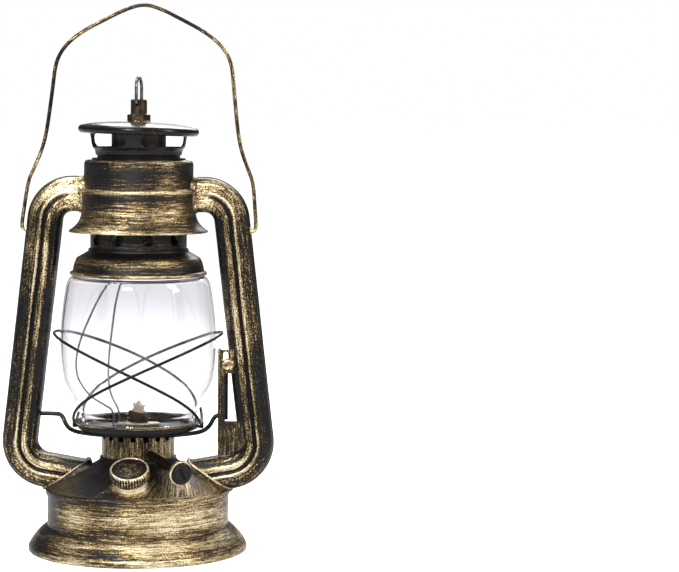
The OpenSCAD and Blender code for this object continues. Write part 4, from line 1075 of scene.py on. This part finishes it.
# The camera sees plain white, and the lantern is lit by a sky that is brighter overhead
seen = tree.nodes["Background"]
seen.inputs["Color"].default_value = (1, 1, 1, 1)
seen.inputs["Strength"].default_value = 1.0
lit = tree.nodes.new("ShaderNodeBackground")
lit.inputs["Color"].default_value = (0.97, 0.98, 1.0, 1)
direction = tree.nodes.new("ShaderNodeTexCoord")
axes = tree.nodes.new("ShaderNodeSeparateXYZ")
tree.links.new(direction.outputs["Generated"], axes.inputs[0])
overhead = tree.nodes.new("ShaderNodeMapRange")
overhead.interpolation_type = "SMOOTHSTEP"
for name, v in (("From Min", 0.1), ("From Max", 0.8), ("To Min", 0.05), ("To Max", 0.45)):
    overhead.inputs[name].default_value = v
tree.links.new(axes.outputs["Z"], overhead.inputs["Value"])
tree.links.new(overhead.outputs[0], lit.inputs["Strength"])
path_kind = tree.nodes.new("ShaderNodeLightPath")
through = tree.nodes.new("ShaderNodeMath")
through.operation = "MAXIMUM"
tree.links.new(path_kind.outputs["Is Camera Ray"], through.inputs[0])
tree.links.new(path_kind.outputs["Is Transmission Ray"], through.inputs[1])
chooser = tree.nodes.new("ShaderNodeMixShader")
tree.links.new(through.outputs[0], chooser.inputs[0])
tree.links.new(lit.outputs[0], chooser.inputs[1])
tree.links.new(seen.outputs[0], chooser.inputs[2])
tree.links.new(chooser.outputs[0], tree.nodes["World Output"].inputs["Surface"])


def area(name, place, target, size, energy, colour=(1, 1, 1)):
    """A soft rectangular light at place that points at target."""
    light = bpy.data.lights.new(name, "AREA")
    light.shape = "RECTANGLE"
    light.size, light.size_y = size
    light.energy = energy
    light.color = colour
    obj = bpy.data.objects.new(name, light)
    obj.location = place
    obj.rotation_euler = (Vector(target) - Vector(place)).to_track_quat("-Z", "Y").to_euler()
    bpy.context.scene.collection.objects.link(obj)


area("key_softbox", (-0.35, -1.5, 1.0), (0, 0, 0.16), (0.45, 0.5), 30)
area("side_softbox", (1.2, -0.5, 0.9), (0, 0, 0.2), (0.3, 0.9), 12, (1.0, 0.97, 0.93))
area("top_softbox", (-0.3, 0.1, 1.5), (0, 0, 0.2), (0.7, 0.5), 14)
area("back_softbox", (0.2, 1.4, 1.1), (0, 0, 0.2), (1.0, 0.8), 16)

camera = bpy.data.cameras.new("photo_camera")
camera.sensor_width = 36.0
FOCAL_TO_WIDTH = 3.3225  # the lens's focal length over the picture's width
camera.lens = camera.sensor_width * FOCAL_TO_WIDTH
camera.clip_end = 100
viewer = bpy.data.objects.new("photo_camera", camera)
aim = Matrix.Translation((0.134, -1.5, 0.2913)) @ Matrix.Rotation(math.radians(90 - 4.33), 4, "X")
viewer.matrix_world = aim @ Matrix.Rotation(math.radians(0.5), 4, "Z")
bpy.context.scene.collection.objects.link(viewer)
bpy.context.scene.camera = viewer
bpy.context.scene.view_settings.view_transform = "Standard"
